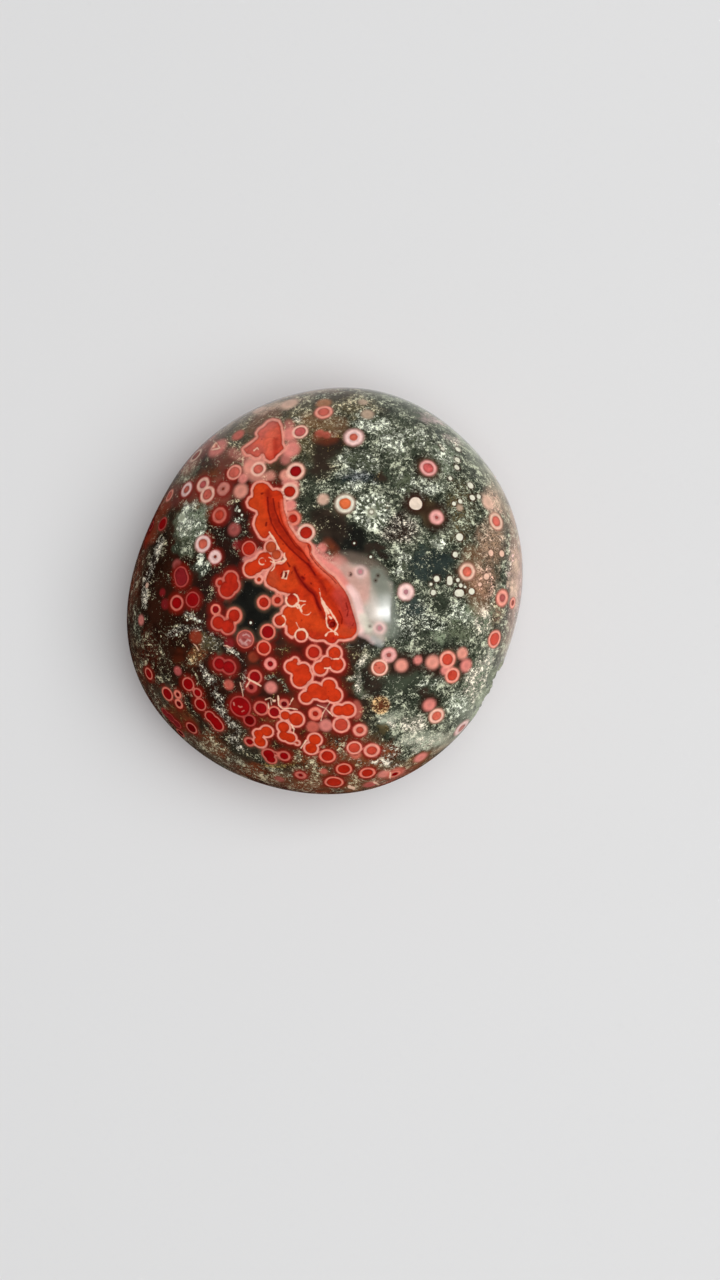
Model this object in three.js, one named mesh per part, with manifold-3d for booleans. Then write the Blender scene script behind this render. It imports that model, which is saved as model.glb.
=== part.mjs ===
// A polished ocean jasper palm stone, one solid pebble of orbicular chalcedony. It lies on the small
// flat spot of its back with the patterned face up. The lower right rim keeps a broken, unpolished
// patch, and the face has a few open pits. Millimetres, +Z up. The origin is on the plane of the
// resting spot, under the middle of the outline's box.
import * as THREE from "three";
import Module from "manifold-3d";
import { mergeVertices } from "three/addons/utils/BufferGeometryUtils.js";

// Radius of the outline seen from above, every 15 degrees from +X towards +Y.
const OUTLINE_RADII = [
  36.1, 36.9, 37.5, 37.5, 37.9, 37.9, 36.9, 35.9, 35.2, 34.7, 33.8, 34.2,
  35.6, 37.1, 37.6, 37.1, 36.9, 36.6, 36.8, 37.0, 36.4, 35.8, 35.3, 35.0,
];
const FACE_HEIGHT = 18.5; // the domed face, above the rim
const BACK_DEPTH = 15.0; // the back, below the rim
const FULLNESS = 2.35; // 2 is an ellipse; more is flatter in the middle and rounder at the rim
const RIM_SLOPE = 0.11; // the rim rises this much per millimetre towards +X
const SWELL_HEIGHT = 0.35; // slow waves that hand polishing leaves in the face
const SWELL_LENGTH_X = 38.0;
const SWELL_LENGTH_Y = 46.0;
const SWELL_SHIFT = 0.8; // radians
const FLAT_CUT = 0.5; // how much of the back the resting spot takes away
const FLAT_EDGE = 0.15; // height over which the resting spot's edge is rounded
const FACETS_PER_EDGE = 18; // splits of each edge of the starting icosahedron

// Breaks that run into one patch on the rim: azimuth and latitude in degrees, size across and depth.
const BREAKS = [
  [-23.6, 9, 3.4, 0.95],
  [-25.6, 2, 4.2, 0.9],
  [-26.6, 17, 3.6, 0.6],
  [-27.6, -6, 5.0, 0.7],
  [-30.2, 7, 7.2, 0.75],
  [-33.6, 17, 4.6, 0.5],
  [-35.0, 0, 5.2, 0.6],
  [-38.4, 9, 3.6, 0.45],
];
const BREAK_RELIEF = 0.16; // how far the broken ground strays from a smooth scoop
const BREAK_GRAIN = 1.7; // from one bump of the broken ground to the next
const BREAK_SPLITS = 6; // splits of each edge of a break's starting icosahedron
// Open pits in the face: x, y, size across and depth.
const PITS = [
  [-6.2, 2.4, 1.3, 0.5],
  [-18.9, 26.0, 1.3, 0.45],
  [5.1, 2.5, 0.9, 0.35],
  [2.2, -6.1, 1.1, 0.4],
];

// A closed cubic spline through the outline's radii, smooth enough for clean reflections.
function outlineRadius(azimuth) {
  const count = OUTLINE_RADII.length;
  const place = (azimuth / (2 * Math.PI) + 1) * count;
  const first = Math.floor(place);
  const t = place - first;
  const near = (offset) => OUTLINE_RADII[(first + offset + count) % count];
  return (
    ((1 - t) ** 3 * near(-1) +
      (3 * t ** 3 - 6 * t ** 2 + 4) * near(0) +
      (-3 * t ** 3 + 3 * t ** 2 + 3 * t + 1) * near(1) +
      t ** 3 * near(2)) /
    6
  );
}

// The larger of two heights, with the corner between them rounded.
function roundedMax(a, b, rounding) {
  const near = Math.max(rounding - Math.abs(a - b), 0) / rounding;
  return Math.max(a, b) + (near * near * rounding) / 4;
}

// The point of the pebble's surface that a direction from its middle leads to.
function surfacePoint(direction) {
  const azimuth = Math.atan2(direction.y, direction.x);
  const lift = Math.min(Math.abs(direction.z), 1);
  const reach = Math.sqrt(1 - lift * lift) ** (2 / FULLNESS);
  const radius = outlineRadius(azimuth) * reach;
  const x = radius * Math.cos(azimuth);
  const y = radius * Math.sin(azimuth);
  if (direction.z >= 0) {
    const swell =
      Math.sin((2 * Math.PI * x) / SWELL_LENGTH_X + SWELL_SHIFT) *
      Math.cos((2 * Math.PI * y) / SWELL_LENGTH_Y);
    const z = lift * (FACE_HEIGHT + SWELL_HEIGHT * swell) + RIM_SLOPE * x;
    return new THREE.Vector3(x, y, z + BACK_DEPTH - FLAT_CUT);
  }
  const z = -lift * BACK_DEPTH + RIM_SLOPE * x * reach * reach;
  return new THREE.Vector3(x, y, roundedMax(z + BACK_DEPTH - FLAT_CUT, 0, FLAT_EDGE));
}

function directionAt(azimuthDegrees, latitudeDegrees) {
  const polar = THREE.MathUtils.degToRad(90 - latitudeDegrees);
  const azimuth = THREE.MathUtils.degToRad(azimuthDegrees);
  return new THREE.Vector3(
    Math.sin(polar) * Math.cos(azimuth),
    Math.sin(polar) * Math.sin(azimuth),
    Math.cos(polar),
  );
}

// The direction whose surface point stands at x, y on the face.
function directionOver(x, y) {
  const azimuth = Math.atan2(y, x);
  const across = (Math.hypot(x, y) / outlineRadius(azimuth)) ** (FULLNESS / 2);
  return new THREE.Vector3(
    across * Math.cos(azimuth),
    across * Math.sin(azimuth),
    Math.sqrt(1 - across * across),
  );
}

// The surface's outward normal in a direction, from two short steps along the surface.
function surfaceNormal(direction) {
  const step = 0.01;
  const side = new THREE.Vector3(0.3, 0.5, 0.8).cross(direction).normalize();
  const other = direction.clone().cross(side);
  const at = (way) => surfacePoint(direction.clone().addScaledVector(way, step).normalize());
  const here = surfacePoint(direction);
  const normal = at(side).sub(here).cross(at(other).sub(here)).normalize();
  return normal.dot(direction) < 0 ? normal.negate() : normal;
}

function pebbleGeometry() {
  const geometry = new THREE.IcosahedronGeometry(1, FACETS_PER_EDGE);
  const places = geometry.getAttribute("position");
  const direction = new THREE.Vector3();
  for (let i = 0; i < places.count; i += 1) {
    direction.fromBufferAttribute(places, i).normalize();
    const point = surfacePoint(direction);
    places.setXYZ(i, point.x, point.y, point.z);
  }
  return geometry;
}

// A ball that leaves a scoop of this size and depth in the surface. Its own number turns it, and
// relief makes it uneven.
function biteGeometry(direction, across, depth, turn, splits, relief) {
  const radius = (across * across) / (8 * depth) + depth / 2;
  const geometry = new THREE.IcosahedronGeometry(radius, splits);
  const places = geometry.getAttribute("position");
  const corner = new THREE.Vector3();
  const wave = (2 * Math.PI) / BREAK_GRAIN;
  for (let i = 0; i < places.count; i += 1) {
    corner.fromBufferAttribute(places, i);
    const along = Math.sin(wave * corner.x + turn) * Math.cos(wave * corner.y + turn);
    corner.setLength(radius + relief * along * Math.cos(wave * corner.z));
    places.setXYZ(i, corner.x, corner.y, corner.z);
  }
  const turned = new THREE.Matrix4().makeRotationFromEuler(new THREE.Euler(turn, turn * 1.7, turn * 0.6));
  const normal = surfaceNormal(direction);
  const middle = surfacePoint(direction).addScaledVector(normal, radius - depth);
  return geometry.applyMatrix4(turned).translate(middle.x, middle.y, middle.z);
}

const wasm = await Module();
wasm.setup();

function solidFrom(geometry) {
  const bare = geometry.index ? geometry.toNonIndexed() : geometry.clone();
  bare.deleteAttribute("normal");
  bare.deleteAttribute("uv");
  const merged = mergeVertices(bare, 1e-4);
  return new wasm.Manifold(
    new wasm.Mesh({
      numProp: 3,
      vertProperties: merged.attributes.position.array,
      triVerts: new Uint32Array(merged.index.array),
    }),
  );
}

function geometryFrom(solid) {
  const mesh = solid.getMesh();
  const geometry = new THREE.BufferGeometry();
  geometry.setAttribute("position", new THREE.BufferAttribute(mesh.vertProperties, 3));
  geometry.setIndex(new THREE.BufferAttribute(mesh.triVerts, 1));
  geometry.computeVertexNormals();
  return geometry;
}

function stoneGeometry() {
  let stone = solidFrom(pebbleGeometry());
  BREAKS.forEach(([azimuth, latitude, across, depth], number) => {
    const direction = directionAt(azimuth, latitude);
    const bite = biteGeometry(direction, across, depth, number + 1, BREAK_SPLITS, BREAK_RELIEF);
    stone = stone.subtract(solidFrom(bite));
  });
  PITS.forEach(([x, y, across, depth], number) => {
    const bite = biteGeometry(directionOver(x, y), across, depth, number + 1, 1, 0);
    stone = stone.subtract(solidFrom(bite));
  });
  return geometryFrom(stone);
}

const jasper = new THREE.MeshStandardMaterial({
  color: 0x4b4a3c,
  roughness: 0.12,
  metalness: 0.0,
});

const stone = new THREE.Mesh(stoneGeometry(), jasper);
stone.name = "stone";
// The origin stands under the middle of the outline's box.
const box = new THREE.Box3().setFromBufferAttribute(stone.geometry.getAttribute("position"));
stone.position.set(-(box.min.x + box.max.x) / 2, -(box.min.y + box.max.y) / 2, 0);

const oceanJasper = new THREE.Group();
oceanJasper.add(stone);

export default oceanJasper;
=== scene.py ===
"""A polished ocean jasper palm stone, lying face up on a pale studio floor.

The stone is one fine mesh that repeats the pebble's shape. Its marks are orbs, veins and moss, given one
by one on the face and drawn at random, from a fixed seed, on the sides and the back. They are kept as
attributes of the mesh, which the material turns into crisp bands and flecks.
"""

import math

import bmesh
import bpy
import numpy as np
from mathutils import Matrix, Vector, noise


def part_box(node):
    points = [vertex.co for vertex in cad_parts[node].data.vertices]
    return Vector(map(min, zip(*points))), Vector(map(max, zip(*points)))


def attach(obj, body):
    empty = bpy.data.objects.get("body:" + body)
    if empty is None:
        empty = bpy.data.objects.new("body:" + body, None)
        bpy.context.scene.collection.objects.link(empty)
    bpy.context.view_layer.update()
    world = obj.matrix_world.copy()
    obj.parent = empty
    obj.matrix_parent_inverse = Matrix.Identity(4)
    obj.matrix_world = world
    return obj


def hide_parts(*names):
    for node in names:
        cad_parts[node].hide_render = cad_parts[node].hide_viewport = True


bl_info = {
    "name": "Ocean Jasper Palm Stone",
    "version": (1, 0, 0),
    "blender": (4, 5, 0),
    "location": "3D View > Sidebar > Jasper",
    "description": "Builds a polished ocean jasper palm stone and its studio",
    "category": "Add Mesh",
}

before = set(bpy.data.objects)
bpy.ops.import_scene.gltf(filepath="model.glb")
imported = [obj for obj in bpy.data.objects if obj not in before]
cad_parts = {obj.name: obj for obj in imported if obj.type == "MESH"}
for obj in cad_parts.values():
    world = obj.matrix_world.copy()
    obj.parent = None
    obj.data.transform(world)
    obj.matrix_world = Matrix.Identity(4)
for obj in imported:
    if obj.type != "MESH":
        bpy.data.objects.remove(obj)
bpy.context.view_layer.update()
STONE_LOW, STONE_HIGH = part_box("stone")

MILLIMETRE = 0.001

# The pebble's shape, in millimetres. The outline's radii stand every 15 degrees from +X towards +Y.
OUTLINE_RADII = (
    36.1, 36.9, 37.5, 37.5, 37.9, 37.9, 36.9, 35.9, 35.2, 34.7, 33.8, 34.2,
    35.6, 37.1, 37.6, 37.1, 36.9, 36.6, 36.8, 37.0, 36.4, 35.8, 35.3, 35.0,
)
FACE_HEIGHT = 18.5
BACK_DEPTH = 15.0
FULLNESS = 2.35
RIM_SLOPE = 0.11
SWELL_HEIGHT = 0.35
SWELL_LENGTH_X = 38.0
SWELL_LENGTH_Y = 46.0
SWELL_SHIFT = 0.8
FLAT_CUT = 0.5
FLAT_EDGE = 0.15
RIM_PLANE = BACK_DEPTH - FLAT_CUT

# Scoops of the broken patch on the rim: azimuth and latitude in degrees, size across and depth.
BREAKS = (
    (-23.6, 9, 3.4, 0.95),
    (-25.6, 2, 4.2, 0.9),
    (-26.6, 17, 3.6, 0.6),
    (-27.6, -6, 5.0, 0.7),
    (-30.2, 7, 7.2, 0.75),
    (-33.6, 17, 4.6, 0.5),
    (-35.0, 0, 5.2, 0.6),
    (-38.4, 9, 3.6, 0.45),
)
BREAK_RELIEF = 0.16
BREAK_GRAIN = 1.7
# Open pits in the face: x, y, size across and depth.
PITS = (
    (-6.2, 2.4, 1.3, 0.5),
    (-18.9, 26.0, 1.3, 0.45),
    (5.1, 2.5, 0.9, 0.35),
    (2.2, -6.1, 1.1, 0.4),
)
# The pits in a core get painted shade in the seams' dark red, darker the deeper they go.
PIT_SHADE = 0.12  # depth at which a pit's wall turns dark, where it is in a core
IN_CORE = 0.3  # a place this far out in an orb's ring, as a share of its width, counts as its core

# The marks are placed as they are seen from straight above this place, this far above the rim.
EYE_X = 6.93
EYE_Y = -8.75
EYE_ABOVE_RIM = 300.0
SIGHT_STEPS = 25  # rounds in which a sight line closes in on the surface
LAST_SHARE = 0.9995  # share of the outline's radius that a place on the face reaches at most
FACE_FROM = 0.05  # sine of the latitude above which a point may show on the face
FAR = 9.0  # the distance kept where no mark is near

# Orbs on the face: core tint, ring tint, then x, y, core radius and ring radius of each.
ORBS = (
    ("rose", "blossom", ((19.4, 22.6, 0.95, 1.5),)),
    ("rose", "shell", ((-4.0, 29.2, 1.0, 1.45), (-21.7, 19.6, 0.75, 1.48))),
    ("rosy", "pearl", ((25.5, -24.8, 0.85, 1.75),)),
    ("dusk", "blush", ((32.9, -1.1, 0.7, 1.45),)),
    ("dusk", "salmon", ((-14.0, -8.6, 1.35, 1.62),)),
    ("clay", "peach", ((31.8, 12.9, 0.95, 1.6),)),
    ("clay", "pearl", ((-24.7, 18.7, 0.7, 1.46),)),
    ("clay", "shell", ((-11.6, 22.4, 0.9, 1.4), (-20.9, 17.8, 1.0, 1.64))),
    ("clay", "blush", ((0.3, 32.8, 1.0, 1.6), (-16.0, 21.8, 1.05, 1.5), (-27.8, 17.6, 0.75, 1.3))),
    ("brick", "blush", ((34.8, -2.0, 0.5, 1.0),)),
    ("brick", "peach", ((-23.0, 24.9, 1.0, 1.6),)),
    ("coral", "blush", (
        (22.9, -12.3, 1.0, 1.5), (5.9, -28.4, 1.0, 1.4), (3.5, -24.2, 1.15, 1.6), (6.9, -25.2, 0.65, 1.25),
        (9.1, -28.9, 0.92, 1.5), (31.5, -8.6, 1.15, 1.6), (23.8, -15.2, 0.95, 1.4),
    )),
    ("coral", "salmon", ((-18.7, 14.0, 0.9, 1.5),)),
    ("scarlet", "shell", ((-5.9, 18.3, 1.0, 1.6), (-2.9, 10.8, 1.05, 1.55))),
    ("scarlet", "salmon", ((-13.3, 7.9, 1.1, 1.4),)),
    ("scarlet", "bloom", (
        (-10.6, -1.9, 0.85, 1.25), (-8.1, -1.5, 0.6, 1.1), (-16.0, -4.3, 1.05, 1.5),
        (-10.6, -10.2, 1.0, 1.35), (1.0, -29.9, 1.05, 1.5), (4.0, -32.3, 1.05, 1.45), (8.3, -33.0, 1.0, 1.5),
        (2.2, -34.7, 1.3, 1.75), (-5.3, 13.4, 0.75, 1.4), (-1.5, -11.0, 1.0, 1.45),
    )),
    ("crimson", "shell", ((-4.8, 22.0, 1.0, 1.6),)),
    ("crimson", "bloom", (
        (-9.9, -7.3, 1.05, 1.4), (-19.4, -3.2, 0.62, 1.02), (-8.7, -21.9, 0.84, 1.18),
        (-31.6, -14.9, 0.85, 1.2), (13.3, -33.2, 0.6, 1.2), (-28.2, -18.6, 1.05, 1.4),
    )),
    ("crimson", "salmon", (
        (-26.5, -2.0, 1.0, 1.45), (-12.2, -15.5, 0.95, 1.35), (-11.1, -21.2, 0.98, 1.4),
        (-6.9, -29.9, 0.75, 1.2), (-13.2, -27.3, 0.6, 1.05), (-3.9, -33.4, 0.45, 1.1),
    )),
    ("crimson", "dull", (
        (-14.9, -20.9, 1.7, 2.05), (-29.1, 12.4, 1.0, 1.35), (-31.1, 12.0, 0.7, 1.1),
        (-23.6, -1.4, 1.15, 1.45),
    )),
    ("garnet", "salmon", ((-6.9, -20.4, 0.5, 1.0), (-23.8, -24.8, 0.95, 1.3), (-25.8, -25.7, 0.7, 1.05))),
    ("garnet", "dull", ((-13.2, -23.4, 0.85, 1.25),)),
    ("apricot", "peach", ((26.5, 3.7, 0.85, 1.5),)),
    ("apricot", "pearl", ((-21.7, 8.8, 0.9, 1.55), (5.8, 28.2, 0.74, 1.65))),
    ("apricot", "shell", ((20.9, -22.6, 0.9, 1.45), (10.5, -13.8, 1.08, 1.44))),
    ("orange", "cream", ((4.2, 16.1, 1.0, 1.64),)),
)

# Cores that run together in one ring: their tint, the ring's tint and width, then x, y and radius.
CLUSTERS = (
    ("scarlet", "blush", 0.38, ((-5.4, -1.5, 1.0), (-3.8, -7.9, 0.9), (1.8, -8.3, 1.0), (-7.7, -5.2, 0.9))),
    ("scarlet", "salmon", 0.42, (
        (-16.6, 2.4, 1.15), (-17.3, 0.5, 1.35), (-16.3, 1.2, 1.1), (-18.6, 1.7, 0.5),
        (-18.9, -5.6, 1.1), (-17.2, -6.3, 1.15),
    )),
    ("crimson", "dull", 0.42, ((-18.7, -13.1, 0.95), (-17.0, -13.7, 1.05))),
    ("crimson", "salmon", 0.32, ((-24.4, -16.8, 1.0), (-22.7, -18.4, 0.65), (-22.2, -20.5, 0.95))),
    ("crimson", "salmon", 0.34, ((-20.4, -22.7, 0.85), (-19.5, -23.6, 0.9), (-19.0, -24.3, 0.95))),
    ("crimson", "salmon", 0.38, ((-9.7, -29.6, 1.0), (-9.3, -30.5, 0.8), (-8.5, -29.5, 0.25))),
    ("wine", "dull", 0.36, ((-25.8, 3.2, 1.15), (-25.6, 2.4, 1.2))),
    ("wine", "dull", 0.3, ((-28.6, -22.0, 0.75), (-27.6, -22.9, 0.8), (-26.4, -24.1, 0.75))),
    ("copper", "blush", 0.4, ((-9.3, 8.2, 0.95), (-8.3, 6.8, 0.8))),
    ("vermilion", "blush", 0.4, ((-10.1, -25.4, 1.0), (-11.6, -25.9, 0.85), (-11.3, -27.3, 1.05))),
    ("vermilion", "blush", 0.42, (
        (-10.5, 5.7, 1.45), (-11.9, 4.7, 1.2), (-12.9, 4.2, 1.25), (-11.5, 2.3, 0.4),
        (2.3, -11.1, 1.05), (2.7, -13.2, 1.15), (0.9, -12.8, 0.9), (-0.3, -13.9, 1.1),
        (-5.6, -13.6, 1.0), (-4.9, -12.6, 0.5), (-4.3, -14.5, 1.1), (-3.4, -14.2, 1.1),
        (-4.0, -15.9, 1.35), (-2.9, -15.3, 1.0), (-2.9, -19.2, 1.0), (-1.3, -18.0, 1.35),
        (0.2, -18.5, 1.25), (1.3, -17.1, 1.15), (2.2, -18.8, 1.25), (-4.7, -23.2, 1.2), (-6.7, -22.5, 0.8),
        (-7.0, -24.6, 1.0), (-6.9, -26.2, 0.9), (-5.8, -26.6, 0.95), (-4.5, -27.5, 0.3),
        (-1.3, -26.9, 1.05), (-2.0, -28.5, 1.05),
    )),
    ("vermilion", "blush", 0.46, ((3.0, -21.6, 0.95), (4.7, -21.5, 1.15))),
)

# Pale discs with a small red centre: centre and disc tints, then x, y, centre radius and disc radius.
EYES = (
    ("brick", "pearl", ((-19.5, 6.4, 0.34, 1.12),)),
    ("dusk", "blossom", ((20.9, 13.6, 0.35, 1.1), (12.2, -11.5, 0.4, 1.15))),
    ("orchid", "pearl", ((15.3, 0.0, 0.4, 1.25),)),
    ("brick", "rosy", ((-18.0, 18.8, 0.3, 1.2),)),
    ("crimson", "petal", ((-9.4, -13.1, 0.5, 1.05),)),
    ("scarlet", "bloom", ((-1.2, -22.2, 0.5, 1.15),)),
    ("garnet", "dull", ((-12.9, -17.3, 0.44, 1.05),)),
    ("garnet", "bloom", ((-26.3, -18.7, 0.42, 0.84), (-26.1, -20.4, 0.54, 0.94))),
)

# Discs and dots without a ring: tint, then x, y and radius.
DISCS = (
    ("ivory", (
        (25.1, 10.0, 0.65), (24.3, 6.8, 0.5), (20.9, 2.4, 0.53), (19.9, 1.4, 0.28),
        (20.3, -0.1, 0.45), (23.3, 2.4, 0.5), (23.3, 1.8, 0.5), (24.8, 2.2, 0.35), (25.3, 1.2, 0.34),
        (24.8, -0.2, 0.6), (25.3, -0.2, 0.6), (27.3, 0.1, 0.55), (26.1, 0.9, 0.22), (24.1, 16.1, 0.34),
        (25.2, 16.5, 0.42), (27.1, 19.4, 0.6), (27.4, 17.2, 0.55), (28.6, 17.4, 0.45), (24.8, 26.0, 0.55),
        (24.7, 24.1, 0.52), (24.6, 22.7, 0.5), (23.4, 20.7, 0.37), (22.0, 26.1, 0.37), (21.6, 26.7, 0.22),
        (9.0, 14.6, 0.35),
    )),
    ("linen", ((17.1, 16.1, 1.12),)),
    ("orchid", ((7.0, 3.7, 0.42), (10.5, -6.6, 0.38))),
    ("peach", (
        (28.8, 1.4, 0.34), (30.8, 7.1, 0.55), (32.8, 7.0, 0.6), (30.0, 2.8, 0.55), (-31.9, 1.2, 0.5),
    )),
    ("frost", (
        (5.9, 8.9, 0.18), (8.9, 6.4, 0.24), (-13.0, -5.6, 0.25), (-24.6, -5.1, 0.2), (-23.2, -4.9, 0.26),
        (-22.3, -5.3, 0.25), (-26.5, -7.8, 0.22), (-15.1, 14.8, 0.25), (-14.6, 14.0, 0.22),
    )),
    ("bark", ((5.2, 3.2, 0.12), (10.2, 3.0, 0.16), (9.8, 2.1, 0.1), (8.75, -6.25, 0.1))),
)

# Discs that lie deeper in the stone, so their edges are soft: tint, then x, y and radius.
DEEP_DISCS = (
    ("loam", (
        (19.4, 22.6, 2.4), (20.9, 13.6, 2.5), (17.1, 16.1, 2.3), (19.6, -20.6, 1.9), (26.0, 3.5, 1.9),
        (12.6, -12.8, 2.2), (15.2, -13.2, 2.0), (18.0, -12.6, 1.7), (20.8, -13.2, 2.2), (24.0, -13.4, 3.0),
    )),
    ("blush", (
        (14.5, -13.4, 1.05), (20.2, -12.8, 1.15), (25.6, -11.2, 1.0), (-13.2, 22.9, 1.3), (-14.8, 18.4, 1.3),
        (-6.6, 21.3, 1.0),
    )),
    # The peach discs at -11.5, 33.2 and -6.0, 34.3 are a painted reflection of the pale wall, on the top rim.
    ("peach", ((0.2, 16.9, 0.95), (30.3, 16.3, 1.25), (-11.5, 33.2, 1.2), (-6.0, 34.3, 1.6))),
    ("petal", (
        (-14.4, 20.7, 0.9), (17.5, -12.4, 0.7), (-19.0, 26.3, 1.9), (0.7, -24.3, 1.1),
        (0.1, 8.1, 0.8), (-5.5, 26.0, 1.4), (-6.0, 28.8, 1.3), (-5.8, 15.8, 1.0), (22.6, -14.2, 0.9),
        (26.3, -13.4, 1.1), (18.0, -30.2, 1.25), (-9.3, -17.4, 1.0), (19.6, -20.6, 1.1), (11.3, -33.2, 1.1),
        (-33.0, -5.1, 0.9),
    )),
    ("clay", (
        (-17.0, -16.9, 0.9), (-1.7, -24.6, 1.1), (6.1, -29.6, 1.0),
        (-15.3, 28.6, 1.2), (-13.4, 25.7, 1.2), (0.3, -32.7, 0.7), (13.5, -33.0, 1.7),
    )),
    ("rose", ((-26.3, -14.4, 0.8), (-4.7, 11.2, 0.8), (8.8, -35.1, 1.2))),
    ("dusk", ((-16.0, 11.4, 1.1), (-26.5, 5.0, 0.9), (-7.8, -34.1, 0.9), (0.0, -21.5, 1.3))),
    ("clay", ((-0.4, 28.9, 0.8), (0.9, 28.6, 0.7))),
    ("brick", ((-12.5, -11.8, 0.9), (-23.0, -8.2, 1.2), (-5.0, -20.5, 1.0))),
    ("tawny", ((0.3, 34.4, 1.3),)),
    ("chestnut", ((10.7, -20.5, 0.5),)),
    ("lichen", ((9.0, 14.5, 0.95), (-25.6, 13.6, 0.8))),
    ("wine", ((-16.9, -9.3, 0.9), (-28.6, -2.2, 0.9), (-29.1, -0.1, 0.7), (-15.5, 8.6, 0.8))),
    ("sand", ((8.3, 32.4, 1.1), (7.5, 34.6, 0.8), (25.1, 15.4, 0.6))),
)

# A deep disc is this strong, fades between these shares of its radius, and is darkest in its middle.
DEEP_STRENGTH = 0.88
DEEP_EDGE = (0.6, 1.4)
DEEP_REACH = 1.5
DEEP_SHADE = 0.84
DEEP_LIFT = 0.2
DEEP_LIFT_EDGE = (0.1, 0.8)

# Outline of the great vein's core, clockwise from its upper left.
VEIN = (
    (-12.3, 19.3), (-11.8, 19.8), (-10.8, 19.9), (-10.0, 19.6), (-9.5, 19.0), (-9.0, 18.4), (-8.3, 18.6),
    (-7.6, 18.4), (-7.2, 17.8), (-7.0, 17.0), (-7.0, 16.0), (-6.9, 15.0), (-6.6, 14.2), (-6.3, 13.0),
    (-6.0, 12.0), (-5.4, 11.1), (-4.8, 10.2), (-4.1, 9.4), (-3.4, 9.1), (-2.5, 8.95), (-2.0, 8.4),
    (-1.9, 7.7), (-2.0, 7.2), (-1.7, 6.6), (-1.1, 5.8), (-0.4, 5.0), (0.4, 4.2), (1.1, 3.5), (2.2, 2.8),
    (3.1, 1.6), (4.1, 0.3), (4.9, -1.2), (5.6, -3.5), (6.0, -4.8), (6.3, -5.8), (6.4, -6.8), (6.1, -7.6),
    (5.4, -8.3), (4.0, -8.6), (3.1, -8.5), (2.6, -8.8), (1.7, -9.2), (1.0, -9.1), (0.6, -8.7), (0.0, -8.6),
    (-1.0, -8.7), (-1.8, -8.5), (-2.4, -8.0), (-2.9, -7.1), (-4.2, -6.9), (-4.7, -7.6), (-5.5, -8.1),
    (-6.3, -7.4), (-6.3, -6.3), (-6.2, -5.9), (-7.0, -5.9), (-7.8, -6.1), (-8.5, -5.4), (-8.3, -4.8),
    (-7.6, -4.2), (-7.2, -4.0), (-7.1, -3.4), (-6.7, -2.8), (-6.2, -2.6), (-5.4, -2.5), (-4.4, -0.7),
    (-4.9, -0.3), (-6.0, -0.3), (-6.9, -0.1), (-7.9, 0.1), (-8.4, 0.6), (-9.2, 0.9), (-10.0, 1.4),
    (-10.2, 2.2), (-10.0, 3.0), (-9.6, 3.9), (-9.0, 4.5), (-8.3, 5.1), (-7.4, 5.0), (-6.9, 5.3),
    (-6.4, 6.0), (-6.8, 6.9), (-7.8, 7.9), (-8.2, 8.9), (-8.7, 9.7), (-9.4, 10.7), (-10.2, 9.8),
    (-10.8, 9.8), (-11.3, 10.2), (-11.6, 10.8), (-12.0, 11.5), (-12.3, 12.3), (-12.2, 12.8), (-12.0, 13.6),
    (-11.6, 14.2), (-11.8, 14.9), (-12.6, 15.2), (-13.3, 15.6), (-13.5, 16.3), (-13.2, 17.0),
    (-12.5, 17.3), (-12.5, 18.0), (-12.6, 18.6),
)
# Outline of the smaller blob above it.
BLOB = (
    (-9.0, 31.2), (-8.0, 31.0), (-7.6, 30.2), (-7.4, 29.0), (-7.3, 27.8), (-7.3, 27.0), (-6.9, 26.2),
    (-7.6, 25.5), (-8.3, 24.9), (-8.7, 24.3), (-9.5, 23.9), (-10.2, 24.3), (-10.6, 25.2), (-11.0, 25.3),
    (-11.5, 24.6), (-12.3, 24.6), (-12.9, 25.1), (-13.7, 25.2), (-14.3, 26.0), (-13.2, 26.8),
    (-12.5, 27.3), (-11.8, 27.9), (-11.5, 28.3), (-11.8, 28.9), (-11.3, 29.6), (-10.4, 30.2), (-9.8, 30.9),
)
VEIN_RING = 0.5  # width of the ring along its edge
VEIN_REACH = 4.0  # how far from its edge the vein's ring and glow are worked out
# Where the vein's ring is as dull as the milk: half width, strength, points.
FADED_RING = (1.3, 0.85, ((4.4, -0.6), (5.8, -4.2), (6.6, -6.6)))
RING_SHARE = 0.72  # how much of a ring is bright, before it fades
# A ring's colour is multiplied by these outside its bright part, in green ground and in red ground.
COOL_HALO = (0.47, 0.4, 0.38)
WARM_HALO = (0.4, 0.1, 0.09)
WARM_GROUND = (1.2, 2.4)  # red over green at which ground starts to count as red, and fully does
GREEN_GLOW_CUT = 0.35  # millimetres by which the glow is narrower in green ground
PALE_GLOW_CUT = 2  # the same in pale ground
PALE_GROUND = (0.14, 0.4)  # luminance at which ground starts to count as pale, and fully does
MILKY_DEPTH = (0.3, 0.8)  # the same for how much of a place is soft deep colour
MILKY_LIGHT = (0.15, 0.35)  # and for the luminance of that colour
MOSTLY_DEEP = 0.4  # share of deep colour above which a place is as pale as that colour
LUMINANCE = (0.2126, 0.7152, 0.0722)
EYE_SHARE = 0.92  # the same for an eye, whose disc keeps its colour nearly to its edge
GLOW_REACH = 3.0  # how far from its ring an orb's glow is worked out
DISC_REACH = 1.0  # how far from its edge a disc's shadow is worked out

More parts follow.
